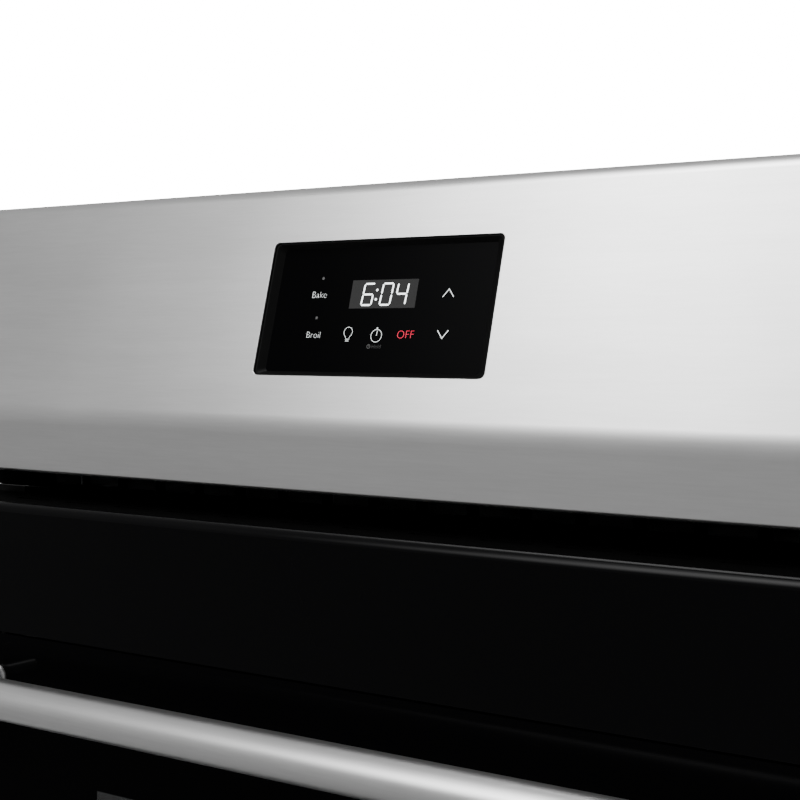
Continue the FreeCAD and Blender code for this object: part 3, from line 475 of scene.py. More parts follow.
def speckled_enamel(name, colour):
    """Blue-black vitreous enamel with pale specks and a wavy gloss."""
    material, shader = start_material(name, colour, 0.16, coat=0.4)
    shader.inputs["Coat Roughness"].default_value = 0.06
    specks = remap(material, cell_value(material, 260.0), 0.06, 0.16, 1.0, 0.0)
    set_colour(material, shader, specks, colour, (0.42, 0.45, 0.50))
    set_roughness(material, shader, noise_value(material, (1, 1, 1), 30.0), 0.12, 0.24)
    set_bump(material, shader, noise_value(material, (1, 1, 1), 60.0), 0.08 * MM, 0.3)
    return material


def spangled_zinc(name, colour):
    """Galvanised sheet with frosted zinc spangle."""
    material, shader = start_material(name, colour, 0.42, metallic=1.0)
    tone = cell_value(material, 75.0, output="Color")
    tree = material.node_tree
    split = tree.nodes.new("ShaderNodeSeparateColor")
    tree.links.new(tone, split.inputs["Color"])
    value = split.outputs["Red"]
    set_colour(material, shader, value, tuple(part * 0.80 for part in colour), colour)
    set_roughness(material, shader, value, 0.34, 0.52)
    set_bump(material, shader, noise_value(material, (1, 1, 1), 300.0), 0.01 * MM, 0.4)
    return material


def plated_steel(name, colour, rough=(0.24, 0.38)):
    """Zinc-plated or spring steel with a dull bloom."""
    material, shader = start_material(name, colour, sum(rough) / 2, metallic=1.0)
    bloom = noise_value(material, (1, 1, 1), 90.0, detail=4.0)
    set_colour(material, shader, bloom, tuple(part * 0.82 for part in colour), colour)
    set_roughness(material, shader, bloom, *rough)
    set_bump(material, shader, noise_value(material, (1, 1, 1), 900.0), 0.01 * MM, 0.4)
    return material


def bright_wire(name, colour):
    """Chromed wire, a little dulled by heat."""
    material, shader = start_material(name, colour, 0.16, metallic=1.0)
    heat = noise_value(material, (1, 1, 1), 18.0, detail=4.0)
    set_colour(material, shader, heat, (0.66, 0.62, 0.55), colour)
    set_roughness(material, shader, heat, 0.11, 0.25)
    return material


def heater_skin(name, colour):
    """The dark oxidised sheath of a heating element."""
    material, shader = start_material(name, colour, 0.62, metallic=0.5)
    scale = noise_value(material, (1, 1, 1), 160.0, detail=5.0)
    set_colour(material, shader, scale, colour, (0.20, 0.17, 0.15))
    set_roughness(material, shader, scale, 0.5, 0.75)
    set_bump(material, shader, scale, 0.08 * MM, 0.6)
    return material


def glass_wool(name, colour):
    """Yellowish mineral wool with matted fibres."""
    material, shader = start_material(name, colour, 0.95)
    shader.inputs["Sheen Weight"].default_value = 0.25
    fibres = noise_value(material, (1, 1, 1), 240.0, detail=8.0, rough=0.7)
    set_colour(material, shader, fibres, tuple(part * 0.6 for part in colour), colour)
    set_bump(material, shader, fibres, 1.2 * MM, 0.8)
    return material


def woven_seal(name, colour):
    """Braided glass-fibre rope, dark with heat."""
    material, shader = start_material(name, colour, 0.85)
    shader.inputs["Sheen Weight"].default_value = 0.3
    tree = material.node_tree
    braid = tree.nodes.new("ShaderNodeTexChecker")
    braid.inputs["Scale"].default_value = 900.0
    tree.links.new(stretched_place(material, (1, 1, 1)), braid.inputs["Vector"])
    wear = noise_value(material, (1, 1, 1), 40.0)
    set_colour(material, shader, wear, tuple(part * 0.6 for part in colour), colour)
    set_bump(material, shader, braid.outputs["Fac"], 0.25 * MM, 0.7)
    return material


def fired_ceramic(name, colour):
    """White steatite with a dry, slightly stained skin."""
    material, shader = start_material(name, colour, 0.55)
    stain = noise_value(material, (1, 1, 1), 70.0, detail=4.0)
    set_colour(material, shader, stain, tuple(part * 0.85 for part in colour), colour)
    set_bump(material, shader, noise_value(material, (1, 1, 1), 800.0), 0.02 * MM, 0.4)
    return material


def circuit_board(name, colour):
    """Green board with a pattern of tracks under the mask."""
    material, shader = start_material(name, colour, 0.35, coat=0.3)
    tracks = remap(material, cell_value(material, 160.0, "DISTANCE_TO_EDGE"), 0.02, 0.06, 1.0, 0.0)
    set_colour(material, shader, tracks, colour, (0.10, 0.34, 0.14))
    set_roughness(material, shader, noise_value(material, (1, 1, 1), 60.0), 0.28, 0.42)
    return material


def clear_glass(name, colour):
    """Heat-resisting glass, faintly green and a touch hazy."""
    material, shader = start_material(name, colour, 0.03)
    shader.inputs["Transmission Weight"].default_value = 1.0
    shader.inputs["IOR"].default_value = 1.47
    set_roughness(material, shader, noise_value(material, (1, 1, 1), 20.0), 0.01, 0.05)
    return material


def glowing_ink(name, colour, glow):
    """A glowing mark seen through the display's glass, with a slight unevenness; on the lit marks the
    glow is the display's lamp, on the dim marks it is painted glow.
    """
    material, shader = start_material(name, colour, 0.5)
    shader.inputs["Emission Color"].default_value = (*colour, 1.0)
    shader.inputs["Emission Strength"].default_value = glow
    shader.inputs["Specular IOR Level"].default_value = GLASS_GLOSS
    cloud = noise_value(material, (1, 1, 1), 500.0)
    set_colour(material, shader, cloud, tuple(part * 0.9 for part in colour), colour)
    return material


def door_glass_finish(name, colour):
    """Black-backed glass with a dark tinted window in its middle."""
    settings = bpy.context.scene.oven_door
    material, shader = start_material(name, colour, 0.05)
    shader.inputs["Specular IOR Level"].default_value = GLASS_GLOSS
    tree = material.node_tree
    low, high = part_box("window_panes")
    middle_z = (low.z + high.z) / 2
    place = tree.nodes.new("ShaderNodeTexCoord")
    split = tree.nodes.new("ShaderNodeSeparateXYZ")
    tree.links.new(place.outputs["Object"], split.inputs["Vector"])
    half_sizes = (settings.window_width / 2, settings.window_height / 2)
    edges = []
    for axis, middle, half in (("X", 0.0, half_sizes[0]), ("Z", middle_z, half_sizes[1])):
        offset = tree.nodes.new("ShaderNodeMath")
        offset.operation = "SUBTRACT"
        offset.inputs[1].default_value = middle
        tree.links.new(split.outputs[axis], offset.inputs[0])
        reach = tree.nodes.new("ShaderNodeMath")
        reach.operation = "ABSOLUTE"
        tree.links.new(offset.outputs["Value"], reach.inputs[0])
        edges.append(remap(material, reach.outputs["Value"], half - 1.5 * MM, half, 0.0, 1.0))
    border = tree.nodes.new("ShaderNodeMath")
    border.operation = "MAXIMUM"
    tree.links.new(edges[0], border.inputs[0])
    tree.links.new(edges[1], border.inputs[1])
    clear = remap(material, border.outputs["Value"], 0.0, 1.0, 0.9, 0.0)
    tree.links.new(clear, shader.inputs["Transmission Weight"])
    set_roughness(material, shader, noise_value(material, (1, 1, 1), 14.0), 0.03, 0.06)
    tint = blend_colours(material, border.outputs["Value"], (0.10, 0.105, 0.105), colour)
    tree.links.new(tint, shader.inputs["Base Color"])
    return material


def finish_for(slot):
    """The shared material for one of the record's slots, made once."""
    name = "oven_" + slot
    if name in bpy.data.materials:
        return bpy.data.materials[name]
    colours = {entry["slot"]: entry["base_color"] for entry in frame["record"]["materials"]}
    colour = tuple(colours[slot][:3])
    scene = bpy.context.scene
    makers = {
        "stainless": lambda: brushed_steel(name, tuple(scene.oven_panel.steel)),
        "black_glass": lambda: black_glass(name, tuple(scene.oven_door.black)),
        "clear_glass": lambda: clear_glass(name, (0.93, 0.96, 0.94)),
        "black_trim": lambda: gloss_black(name, tuple(scene.oven_door.black), BAND_GLOSS),
        "black_plastic": lambda: moulded_black(name, colour),
        "black_painted_steel": lambda: painted_steel(name, colour),
        "enamel": lambda: speckled_enamel(name, (0.012, 0.015, 0.022)),
        "galvanised": lambda: spangled_zinc(name, colour),
        "chrome_wire": lambda: bright_wire(name, colour),
        "heater_sheath": lambda: heater_skin(name, (0.035, 0.034, 0.034)),
        "zinc_steel": lambda: plated_steel(name, colour),
        "spring_steel": lambda: plated_steel(name, colour, (0.18, 0.30)),
        "fibre": lambda: glass_wool(name, (0.72, 0.60, 0.32)),
        "seal_weave": lambda: woven_seal(name, (0.10, 0.095, 0.09)),
        "ceramic_white": lambda: fired_ceramic(name, colour),
        "board": lambda: circuit_board(name, (0.015, 0.10, 0.035)),
        "motor_steel": lambda: brushed_steel(name, colour, (900.0, 6.0, 6.0), (0.35, 0.5)),
        "aluminium_sheet": lambda: plated_steel(name, colour, (0.28, 0.40)),
    }
    return makers[slot]()


# ---- the panel's shape ----
class PanelPlace:
    """Where the leaning panel's face is, worked out from the display glass and the settings."""

    def __init__(self):
        settings = bpy.context.scene.oven_panel
        display = bpy.context.scene.oven_display
        lean = settings.lean
        low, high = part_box("display_glass")
        self.right = Vector((1, 0, 0))
        self.up = Vector((0, math.sin(lean), math.cos(lean)))
        self.out = Vector((0, -math.cos(lean), math.sin(lean)))
        glass_thick = 2.0 * MM
        self.middle = (low + high) / 2 + self.out * (display.sink + glass_thick / 2)

    def at(self, across, upward, outward=0.0):
        """A point on the face from its distances right, up and out from the display's middle."""
        return self.middle + self.right * across + self.up * upward + self.out * outward

    def matrix(self, across, upward, outward):
        """A frame lying on the face, for flat marks drawn in X and Y."""
        turn = Matrix((self.right, self.up, self.out)).transposed().to_4x4()
        return Matrix.Translation(self.at(across, upward, outward)) @ turn


def arc_points(centre, radius, first, last, steps):
    """Points on an arc between two outward directions."""
    whole = first.angle(last)
    axis = first.cross(last).normalized()
    turns = [Matrix.Rotation(whole * step / steps, 3, axis) for step in range(steps + 1)]
    return [centre + turn @ first * radius for turn in turns]


def panel_side_line():
    """The panel's side outline from the back of its top to the back of its underside, in parts."""
    settings = bpy.context.scene.oven_panel
    place = PanelPlace()
    under = settings.undercut
    low_down = Vector((0, math.sin(under), -math.cos(under)))
    low_out = Vector((0, -math.cos(under), -math.sin(under)))
    bend_corner = place.at(0, -settings.bend_down)
    lip_corner = bend_corner + low_down * settings.lower_face
    top_centre = place.at(0, settings.top_up, -settings.top_round)
    bend_reach = settings.bend_round * math.tan((settings.lean + under) / 2)
    bend_centre = bend_corner + place.up * bend_reach - place.out * settings.bend_round
    lip_reach = settings.lip_round * math.tan((math.pi / 2 - under) / 2)
    lip_centre = lip_corner - low_down * lip_reach - low_out * settings.lip_round
    top = arc_points(top_centre, settings.top_round, Vector((0, 0, 1)), place.out, 14)
    bend = arc_points(bend_centre, settings.bend_round, place.out, low_out, 28)
    lip = arc_points(lip_centre, settings.lip_round, low_out, Vector((0, 0, -1)), 8)
    for points in (top, bend, lip):
        for point in points:
            point.x = 0.0
    back_top = Vector((0, 0, top[0].z))
    grille_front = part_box("vent_grille")[0].y
    back_low = Vector((0, grille_front - 1.0 * MM, lip[-1].z))
    return [back_top] + top, bend + lip + [back_low]


def build_panel_sheet():
    """The folded sheet: strips above and below the flat face, and the face with its opening."""
    settings = bpy.context.scene.oven_panel
    display = bpy.context.scene.oven_display
    place = PanelPlace()
    low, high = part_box("control_fascia")
    above, below = panel_side_line()
    bm = bmesh.new()

    def strip(points):
        rows = [[bm.verts.new(Vector((x, p.y, p.z))) for x in (low.x, high.x)] for p in points]
        for first, second in zip(rows, rows[1:]):
            bm.faces.new((first[0], second[0], second[1], first[1]))
        return rows

    top_rows = strip(above)
    low_rows = strip(below)
    outline = rounded_outline(display.width, display.height, display.corner, 8)
    hole = [bm.verts.new(place.at(point.x, point.y)) for point in outline]
    rim = [top_rows[-1][0], top_rows[-1][1], low_rows[0][1], low_rows[0][0]]
    edges = []
    for loop in (rim, hole):
        for first, second in zip(loop, loop[1:] + loop[:1]):
            edge = bm.edges.get((first, second)) or bm.edges.new((first, second))
            edges.append(edge)
    bmesh.ops.triangle_fill(bm, use_beauty=True, edges=edges)
    mesh = mesh_from("panel_sheet", bm)
    piece = new_object("panel_sheet", mesh, finish_for("stainless"), "oven")
    point_outward(mesh, Vector((0, 0.05, 0.65)))
    thicken(piece, settings.sheet)
    soften(piece, 0.35 * MM)
    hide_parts("control_fascia")
    return piece


def point_outward(mesh, inside):
    """Make every face of an open sheet look away from a point inside it."""
    bm = bmesh.new()
    bm.from_mesh(mesh)
    wrong = [face for face in bm.faces if face.normal.dot(face.calc_center_median() - inside) < 0]
    if len(wrong) > len(bm.faces) / 2:
        bmesh.ops.reverse_faces(bm, faces=bm.faces)
    bm.to_mesh(mesh)
    bm.free()


# ---- marks on the display ----
def flat_shape(bm, points, place):
    """One flat polygon from (across, up) points in millimetres."""
    bm.faces.new([bm.verts.new(place @ Vector((x * MM, y * MM, 0))) for x, y in points])


def stroke(bm, points, width, place):
    """A line of even width through (across, up) points in millimetres, with mitred corners."""
    path = [Vector(point) for point in points]
    closed = (path[0] - path[-1]).length < 1e-6
    if closed:
        path = path[:-1]
    count = len(path)
    sides = []
    for index, point in enumerate(path):
        before = path[index - 1] if closed or index > 0 else None
        after = path[(index + 1) % count] if closed or index < count - 1 else None
        ways = []
        if before is not None:
            ways.append((point - before).normalized())
        if after is not None:
            ways.append((after - point).normalized())
        normals = [Vector((-way.y, way.x)) for way in ways]
        across = sum(normals, Vector((0, 0))).normalized()
        across = across * (width / 2 / max(0.35, across.dot(normals[0])))
        sides.append((point + across, point - across))
    rows = [[bm.verts.new(place @ Vector((p.x * MM, p.y * MM, 0))) for p in pair] for pair in sides]
    pairs = list(zip(rows, rows[1:]))
    if closed:
        pairs.append((rows[-1], rows[0]))
    for first, second in pairs:
        bm.faces.new((first[0], first[1], second[1], second[0]))


def circle_points(x, y, radius, start=0.0, sweep=360.0, steps=28):
    """Points on a circle or part of one."""
    angles = [math.radians(start + sweep * step / steps) for step in range(steps + 1)]
    return [(x + radius * math.cos(angle), y + radius * math.sin(angle)) for angle in angles]


def flat_ring(bm, x, y, outer, inner, place, steps=28):
    """A flat ring, used for dots and clock faces."""
    stroke(bm, circle_points(x, y, (outer + inner) / 2, steps=steps), outer - inner, place)


SEGMENTS = {
    "0": "abcdef", "4": "bcfg", "6": "acdefg",
}


def seven_segment(bm, digit, left, low, width, height, slant, place):
    """One lit digit made of slanted bars."""
    bar = 0.85
    gap = 0.18
    half = height / 2
    right = left + width
    spans = {
        "a": ((left, low + height), (right, low + height)),
        "g": ((left, low + half), (right, low + half)),
        "d": ((left, low), (right, low)),
        "f": ((left, low + half), (left, low + height)),
        "b": ((right, low + half), (right, low + height)),
        "e": ((left, low), (left, low + half)),
        "c": ((right, low), (right, low + half)),
    }
    for name in SEGMENTS[digit]:
        (x0, y0), (x1, y1) = spans[name]
        level = y0 == y1
        x0, x1 = (x0 + gap, x1 - gap) if level else (x0, x1)
        y0, y1 = (y0, y1) if level else (y0 + gap, y1 - gap)
        h = bar / 2
        if level:
            points = [(x0, y0), (x0 + h, y0 + h), (x1 - h, y0 + h),
                      (x1, y0), (x1 - h, y0 - h), (x0 + h, y0 - h)]
        else:
            points = [(x0, y0), (x0 + h, y0 + h), (x0 + h, y1 - h),
                      (x0, y1), (x0 - h, y1 - h), (x0 - h, y0 + h)]
        flat_shape(bm, [(x + (y - low) * slant, y) for x, y in points], place)


def word(bm, text, left, base, cap, place):
    """A plain function word laid flat, scaled so that its capitals have the given height."""
    curve = bpy.data.curves.new("word", "FONT")
    curve.body = text
    curve.size = 1.0
    curve.offset = WORD_THINNING
    holder = bpy.data.objects.new("word", curve)
    bpy.context.scene.collection.objects.link(holder)
    bpy.context.view_layer.update()
    mesh = bpy.data.meshes.new_from_object(holder.evaluated_get(bpy.context.evaluated_depsgraph_get()))
    capital_height = 0.69
    size = cap / capital_height
    start = min(vertex.co.x for vertex in mesh.vertices)
    fit = Matrix.Translation((left * MM, base * MM, 0)) @ Matrix.Scale(size * MM, 4)
    mesh.transform(place @ fit @ Matrix.Translation((-start, 0, 0)))
    bm.from_mesh(mesh)
    bpy.data.objects.remove(holder)
    bpy.data.curves.remove(curve)
    bpy.data.meshes.remove(mesh)


def mark_piece(name, draw, colour, glow):
    """A set of flat marks as one piece just over the glass."""
    display = bpy.context.scene.oven_display
    place = PanelPlace().matrix(MARKS_LEFT, MARKS_UP, -display.sink + MARK_RISE[name])
    bm = bmesh.new()
    draw(bm, place)
    mesh = bpy.data.meshes.new(name)
    bm.to_mesh(mesh)
    bm.free()
    if name + "_finish" not in bpy.data.materials:
        glowing_ink(name + "_finish", colour, glow)
    return new_object(name, mesh, bpy.data.materials[name + "_finish"], "oven")


WORD_THINNING = -0.028
MARKS_LEFT = -2.9 * MM
MARKS_UP = 1.2 * MM
MARK_RISE = {"lit_window": 0.02 * MM, "lit_digits": 0.05 * MM, "key_marks": 0.05 * MM,
             "dim_marks": 0.05 * MM, "off_mark": 0.05 * MM}


def draw_window(bm, place):
    """The pale grey window of the number display."""
    flat_shape(bm, [(-15.0, -0.8), (25.0, -0.8), (25.0, 13.9), (-15.0, 13.9)], place)


def draw_digits(bm, place):
    """The time, in slanted seven-segment digits."""
    slant = 0.08
    for digit, left in (("6", -8.4), ("0", 2.9), ("4", 12.0)):
        seven_segment(bm, digit, left + 0.6, 0.9, 6.1, 11.0, slant, place)
    for y in (3.8, 8.6):
        flat_shape(bm, circle_points(0.9, y, 0.65, steps=16)[:-1], place)


def draw_key_marks(bm, place):
    """The white words and symbols of the touch keys."""
    word(bm, "Bake", -39.5, 5.0, 3.5, place)
    word(bm, "Broil", -38.9, -16.1, 3.4, place)
    stroke(bm, [(40.5, 4.4), (43.65, 8.4), (46.8, 4.4)], 0.42, place)
    stroke(bm, [(40.5, -12.2), (43.65, -16.2), (46.8, -12.2)], 0.42, place)
    draw_bulb(bm, place)
    draw_timer(bm, place)


def draw_bulb(bm, place):
    """An outline light bulb with two screw turns."""
    globe = circle_points(-12.8, -13.1, 2.6, start=-58, sweep=296, steps=24)
    stroke(bm, [(-11.7, -16.3)] + globe + [(-13.9, -16.3)], 0.22, place)
    for y in (-16.7, -17.6):
        stroke(bm, [(-13.9, y), (-11.7, y)], 0.26, place)


def draw_timer(bm, place):
    """A round timer with a stub on top and a hand."""
    flat_ring(bm, 4.8, -14.9, 3.35, 3.1, place)
    stroke(bm, [(4.8, -11.5), (4.8, -10.7)], 0.7, place)
    stroke(bm, [(4.8, -14.9), (5.1, -12.4)], 0.3, place)


def draw_dim_marks(bm, place):
    """The unlit lamps over the two cooking keys and the small hold word."""
    for x, y in ((-34.3, 15.3), (-34.4, -5.5)):
        flat_shape(bm, circle_points(x, y, 0.75, steps=18)[:-1], place)
    flat_ring(bm, 1.1, -20.4, 1.1, 0.8, place, steps=18)
    stroke(bm, [(1.1, -20.4), (1.1, -19.7)], 0.25, place)
    word(bm, "Hold", 3.2, -21.4, 2.0, place)


def draw_off(bm, place):
    """The red word of the off key."""
    word(bm, "OFF", 17.4, -16.3, 4.1, place)


def build_marks():
    """Every mark on the display."""
    display = bpy.context.scene.oven_display
    ink = tuple(display.ink)
    mark_piece("lit_window", draw_window, (0.030, 0.030, 0.030), 0.46)
    mark_piece("lit_digits", draw_digits, ink, 3.0)
    mark_piece("key_marks", draw_key_marks, ink, 1.0)
    # The unlit lamps and the hold word glow faintly: painted glow.
    mark_piece("dim_marks", draw_dim_marks, (0.12, 0.12, 0.12), 0.10)
    mark_piece("off_mark", draw_off, tuple(display.off_ink), 1.0)


# ---- door ----
def band_line():
    """Side outline of the door's top band: front, round edge, top and back lip."""
    settings = bpy.context.scene.oven_door
    low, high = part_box("door_top_trim")
    turn = settings.band_round
    centre = Vector((0, low.y + turn, high.z - turn))
    edge = arc_points(centre, turn, Vector((0, -1, 0)), Vector((0, 0, 1)), 14)
    lip_low = high.z - 20.0 * MM
    slot_front = -40.0 * MM
    slot_back = -34.0 * MM
    rows = [Vector((0, low.y, low.z))] + edge
    rows += [Vector((0, y, high.z)) for y in (slot_front, slot_back, high.y)]
    rows.append(Vector((0, high.y, lip_low)))
    slot_row = len(rows) - 4
    return rows, slot_row


def build_door_band():
    """The glossy top band, with a row of air slots along its top and closed ends."""
    settings = bpy.context.scene.oven_door
    low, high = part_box("door_top_trim")
    rows, slot_row = band_line()
    columns = [low.x]
    for index in range(-6, 7):
        columns += [(index * 40.0 - 14.0) * MM, (index * 40.0 + 14.0) * MM]
    columns.append(high.x)
    bm = bmesh.new()
    grid = [[bm.verts.new((x, point.y, point.z)) for x in columns] for point in rows]
    for row, (first, second) in enumerate(zip(grid, grid[1:])):
        for column in range(len(columns) - 1):
            is_slot = row == slot_row and column % 2 == 1
            if not is_slot:
                bm.faces.new((first[column], first[column + 1], second[column + 1], second[column]))
    for column in (0, len(columns) - 1):
        corner = bm.verts.new((columns[column], high.y - 5.0 * MM, rows[-1].z))
        foot = bm.verts.new((columns[column], high.y - 5.0 * MM, low.z))
        bm.faces.new([line[column] for line in grid] + [corner, foot])
    mesh = mesh_from("door_band", bm)
    piece = new_object("door_band", mesh, finish_for("black_trim"), "door")
    point_outward(mesh, (low + high) / 2)
    mesh.materials.append(shadow_black("oven_air_gap_painted_shade"))
    mesh.materials.append(gloss_black("oven_band_edge_highlight", tuple(settings.black), EDGE_HIGHLIGHT_GLOSS))
    # Faces looking straight up or back take dead black, painted shade of the air gap; the rounded top
    # edge takes a glossier copy, a painted highlight.
    for face in mesh.polygons:
        if face.normal.z > 0.999 or face.normal.y > 0.5:
            face.material_index = 1
        elif face.normal.z > 0.05:
            face.material_index = 2
    thicken(piece, settings.sheet)
    soften(piece, 0.35 * MM)
    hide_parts("door_top_trim")


def build_handle():
    """The round bar with stepped end plugs, and two posts with flared feet."""
    low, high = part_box("handle_bar")
    radius = (high.z - low.z) / 2
    middle = (low + high) / 2
    half = (high.x - low.x) / 2
    plug = 3.0 * MM
    groove = 0.35 * MM
    end = [(half, radius - 1.4 * MM), (half - 0.4 * MM, radius - 0.5 * MM), (half - 1.2 * MM, radius),
           (half - plug, radius), (half - plug - 0.2 * MM, radius - groove),
           (half - plug - 0.6 * MM, radius - groove), (half - plug - 0.8 * MM, radius)]
    profile = [(-along, size) for along, size in end] + [(along, size) for along, size in reversed(end)]
    bm = bmesh.new()
    turned(bm, profile, 72, Matrix.Translation(middle))
    tube = mesh_from("handle_tube", bm)
    bar = new_object("handle_tube", tube, finish_for("stainless"), "door")
    soften(bar, 0.15 * MM, segments=2, angle=25.0)
    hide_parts("handle_bar")
    build_posts(middle, radius)


def build_posts(middle, bar_radius):
    """The two standoffs between the door and the bar."""
    low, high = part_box("handle_posts")
    radius = (high.z - low.z) / 2
    post_x = (high.x - low.x) / 2 - radius
    reach = high.y - middle.y
    start = bar_radius * 0.8
    profile = [(start, radius * 0.82), (reach - 7 * MM, radius * 0.82), (reach - 4 * MM, radius * 0.86),
               (reach - 2 * MM, radius * 0.95), (reach - 0.8 * MM, radius), (reach, radius * 0.98)]
    toward_door = Matrix.Rotation(math.radians(90), 4, "Z")
    bm = bmesh.new()
    for side in (-1, 1):
        place = Matrix.Translation((side * post_x, middle.y, middle.z)) @ toward_door
        turned(bm, profile, 48, place)
    mesh = mesh_from("handle_feet", bm)
    posts = new_object("handle_feet", mesh, finish_for("stainless"), "door")
    soften(posts, 0.2 * MM, segments=2, angle=30.0)
    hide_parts("handle_posts")


# ---- soft pieces ----
def build_seal():
    """The woven rope around the cavity's mouth, flattened by the closed door."""
    low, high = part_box("door_seal")
    width = high.x - low.x
    height = high.z - low.z
    half_side = 4.0 * MM
    half_deep = (high.y - low.y) / 2 - 0.1 * MM
    outline = rounded_outline(width - 2 * half_side, height - 2 * half_side, 20.0 * MM, 10)
    middle = (low + high) / 2
    path = []
    for first, second in zip(outline, outline[1:] + outline[:1]):
        pieces = max(1, int((second - first).length / (6.0 * MM)))
        path += [first.lerp(second, step / pieces) for step in range(pieces)]
    path = [Vector((middle.x + point.x, middle.y, middle.z + point.y)) for point in path]
    section = []
    for step in range(16):
        angle = 2 * math.pi * step / 16
        section.append((half_side * math.cos(angle), half_deep * math.sin(angle)))
    bm = bmesh.new()
    tube_along(bm, path, section, True)
    mesh = mesh_from("seal_rope", bm)
    for vertex in mesh.vertices:
        pinch = 0.06 * noise.noise(vertex.co * 220.0)
        vertex.co.y = middle.y + (vertex.co.y - middle.y) * (0.94 + pinch)
    piece = new_object("seal_rope", mesh, finish_for("seal_weave"), "oven")
    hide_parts("door_seal")


def build_blanket(node, name, body, voxel):
    """A matted fibre blanket made from a plain solid: rounded, uneven and a little thinner."""
    source = frame["nodes"][node]
    mesh = source.data.copy()
    mesh.name = name
    mesh.materials.clear()
    piece = new_object(name, mesh, finish_for("fibre"), body)
    remesh = piece.modifiers.new("matted", "REMESH")
    remesh.mode = "VOXEL"
    remesh.voxel_size = voxel
    remesh.use_smooth_shade = True
    smooth = piece.modifiers.new("worn_edges", "SMOOTH")
    smooth.iterations = 4
    bpy.context.view_layer.update()
    graph = bpy.context.evaluated_depsgraph_get()
    soft = bpy.data.meshes.new_from_object(piece.evaluated_get(graph))
    piece.modifiers.clear()
    sink = 1.0 * MM
    normals = [vertex.normal.copy() for vertex in soft.vertices]
    for vertex, normal in zip(soft.vertices, normals):
        lump = 0.5 + 0.5 * noise.noise(vertex.co * 28.0)
        vertex.co -= normal * sink * lump
    soft.name = name
    piece.data = soft
    bpy.data.meshes.remove(mesh)
    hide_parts(node)


# ---- carried-over pieces ----
EDGE_ROUND = {
    "display_bezel": 0.15, "display_glass": 0.2, "door_glass": 0.8, "bottom_vent_trim": 0.3,
    "side_trims": 0.4, "vent_grille": 0.2, "front_frame": 0.4, "door_inner_panel": 0.3,
    "door_bottom_trim": 0.3, "door_side_channels": 0.3, "panel_end_caps": 0.4, "case_sides": 0.3,
    "case_top": 0.3, "case_back": 0.2, "junction_box": 0.2, "air_duct": 0.2, "window_panes": 0.4,
    "window_frame": 0.3, "hinge_cases": 0.25, "hinge_arms": 0.3, "base_pan": 0.2,
}


def finish_carried_nodes():
    """Every piece kept from the model gets its finish, and the pieces listed in EDGE_ROUND get small
    rounded edges.
    """
    slots = {entry["node"]: entry["material_slot"] for entry in frame["record"]["subparts"]}
    special = {
        "door_glass": door_glass_finish("oven_door_glass", tuple(bpy.context.scene.oven_door.black)),
        # The vent grille and the front frame take dead black instead of their own finishes: painted
        # shade of the air gap.
        "vent_grille": shadow_black("oven_vent_grille"),
        # The display bezel and the side trims take a darker satin copy instead of their own finishes:
        # painted shade of the recess and the air gap.
        "display_bezel": shaded_satin_black("oven_display_bezel"),
        "side_trims": shaded_satin_black("oven_side_trims"),
        "front_frame": shadow_black("oven_front_frame"),
    }
    for node, piece in frame["nodes"].items():
        if piece.get("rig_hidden") or piece.hide_render:
            continue
        slot = slots[node]
        material = special[node] if node in special else finish_for(slot)
        piece.data.materials.clear()
        piece.data.materials.append(material)
        for face in piece.data.polygons:
            face.material_index = 0
        if node in EDGE_ROUND:
            soften(piece, EDGE_ROUND[node] * MM, segments=2)


# ---- stage ----
def area_light(name, place, target, width, height, power, colour=(1, 1, 1)):
    """A soft rectangular light that looks at a point."""
    light = bpy.data.lights.new(name, "AREA")
    light.shape = "RECTANGLE"
    light.size = width
    light.size_y = height
    light.energy = power
    light.color = colour
    lamp = bpy.data.objects.new(name, light)
    bpy.context.scene.collection.objects.link(lamp)
    lamp.location = place
    lamp.rotation_euler = (Vector(target) - Vector(place)).to_track_quat("-Z", "Y").to_euler()
    return lamp


def build_floor():
    """A wide floor under the oven, pale where the camera sees it and darker in the object's
    reflections: painted shade in the reflections.
    """
    settings = bpy.context.scene.oven_stage
    bm = bmesh.new()
    bmesh.ops.create_grid(bm, x_segments=8, y_segments=8, size=5.0)
    mesh = mesh_from("studio_floor", bm, smooth=False)
    material, shader = start_material("studio_floor", tuple(settings.floor), 0.7)
    set_roughness(material, shader, noise_value(material, (1, 1, 1), 3.0), 0.62, 0.8)
    # Reflections see the darker colour, painted shade in reflections; the camera sees the pale floor.
    rays = material.node_tree.nodes.new("ShaderNodeLightPath")
    shade = material.node_tree.nodes.new("ShaderNodeValToRGB")
    shade.color_ramp.elements[0].color = (*settings.floor, 1.0)
    shade.color_ramp.elements[1].color = (*settings.floor_seen, 1.0)
    material.node_tree.links.new(rays.outputs["Is Camera Ray"], shade.inputs["Fac"])
    material.node_tree.links.new(shade.outputs["Color"], shader.inputs["Base Color"])
    mesh.materials.append(material)
    floor = bpy.data.objects.new("studio_floor", mesh)
    floor.location = (0, 0, -0.5 * MM)
    bpy.context.scene.collection.objects.link(floor)


BACKDROP_WHITE = 18.0


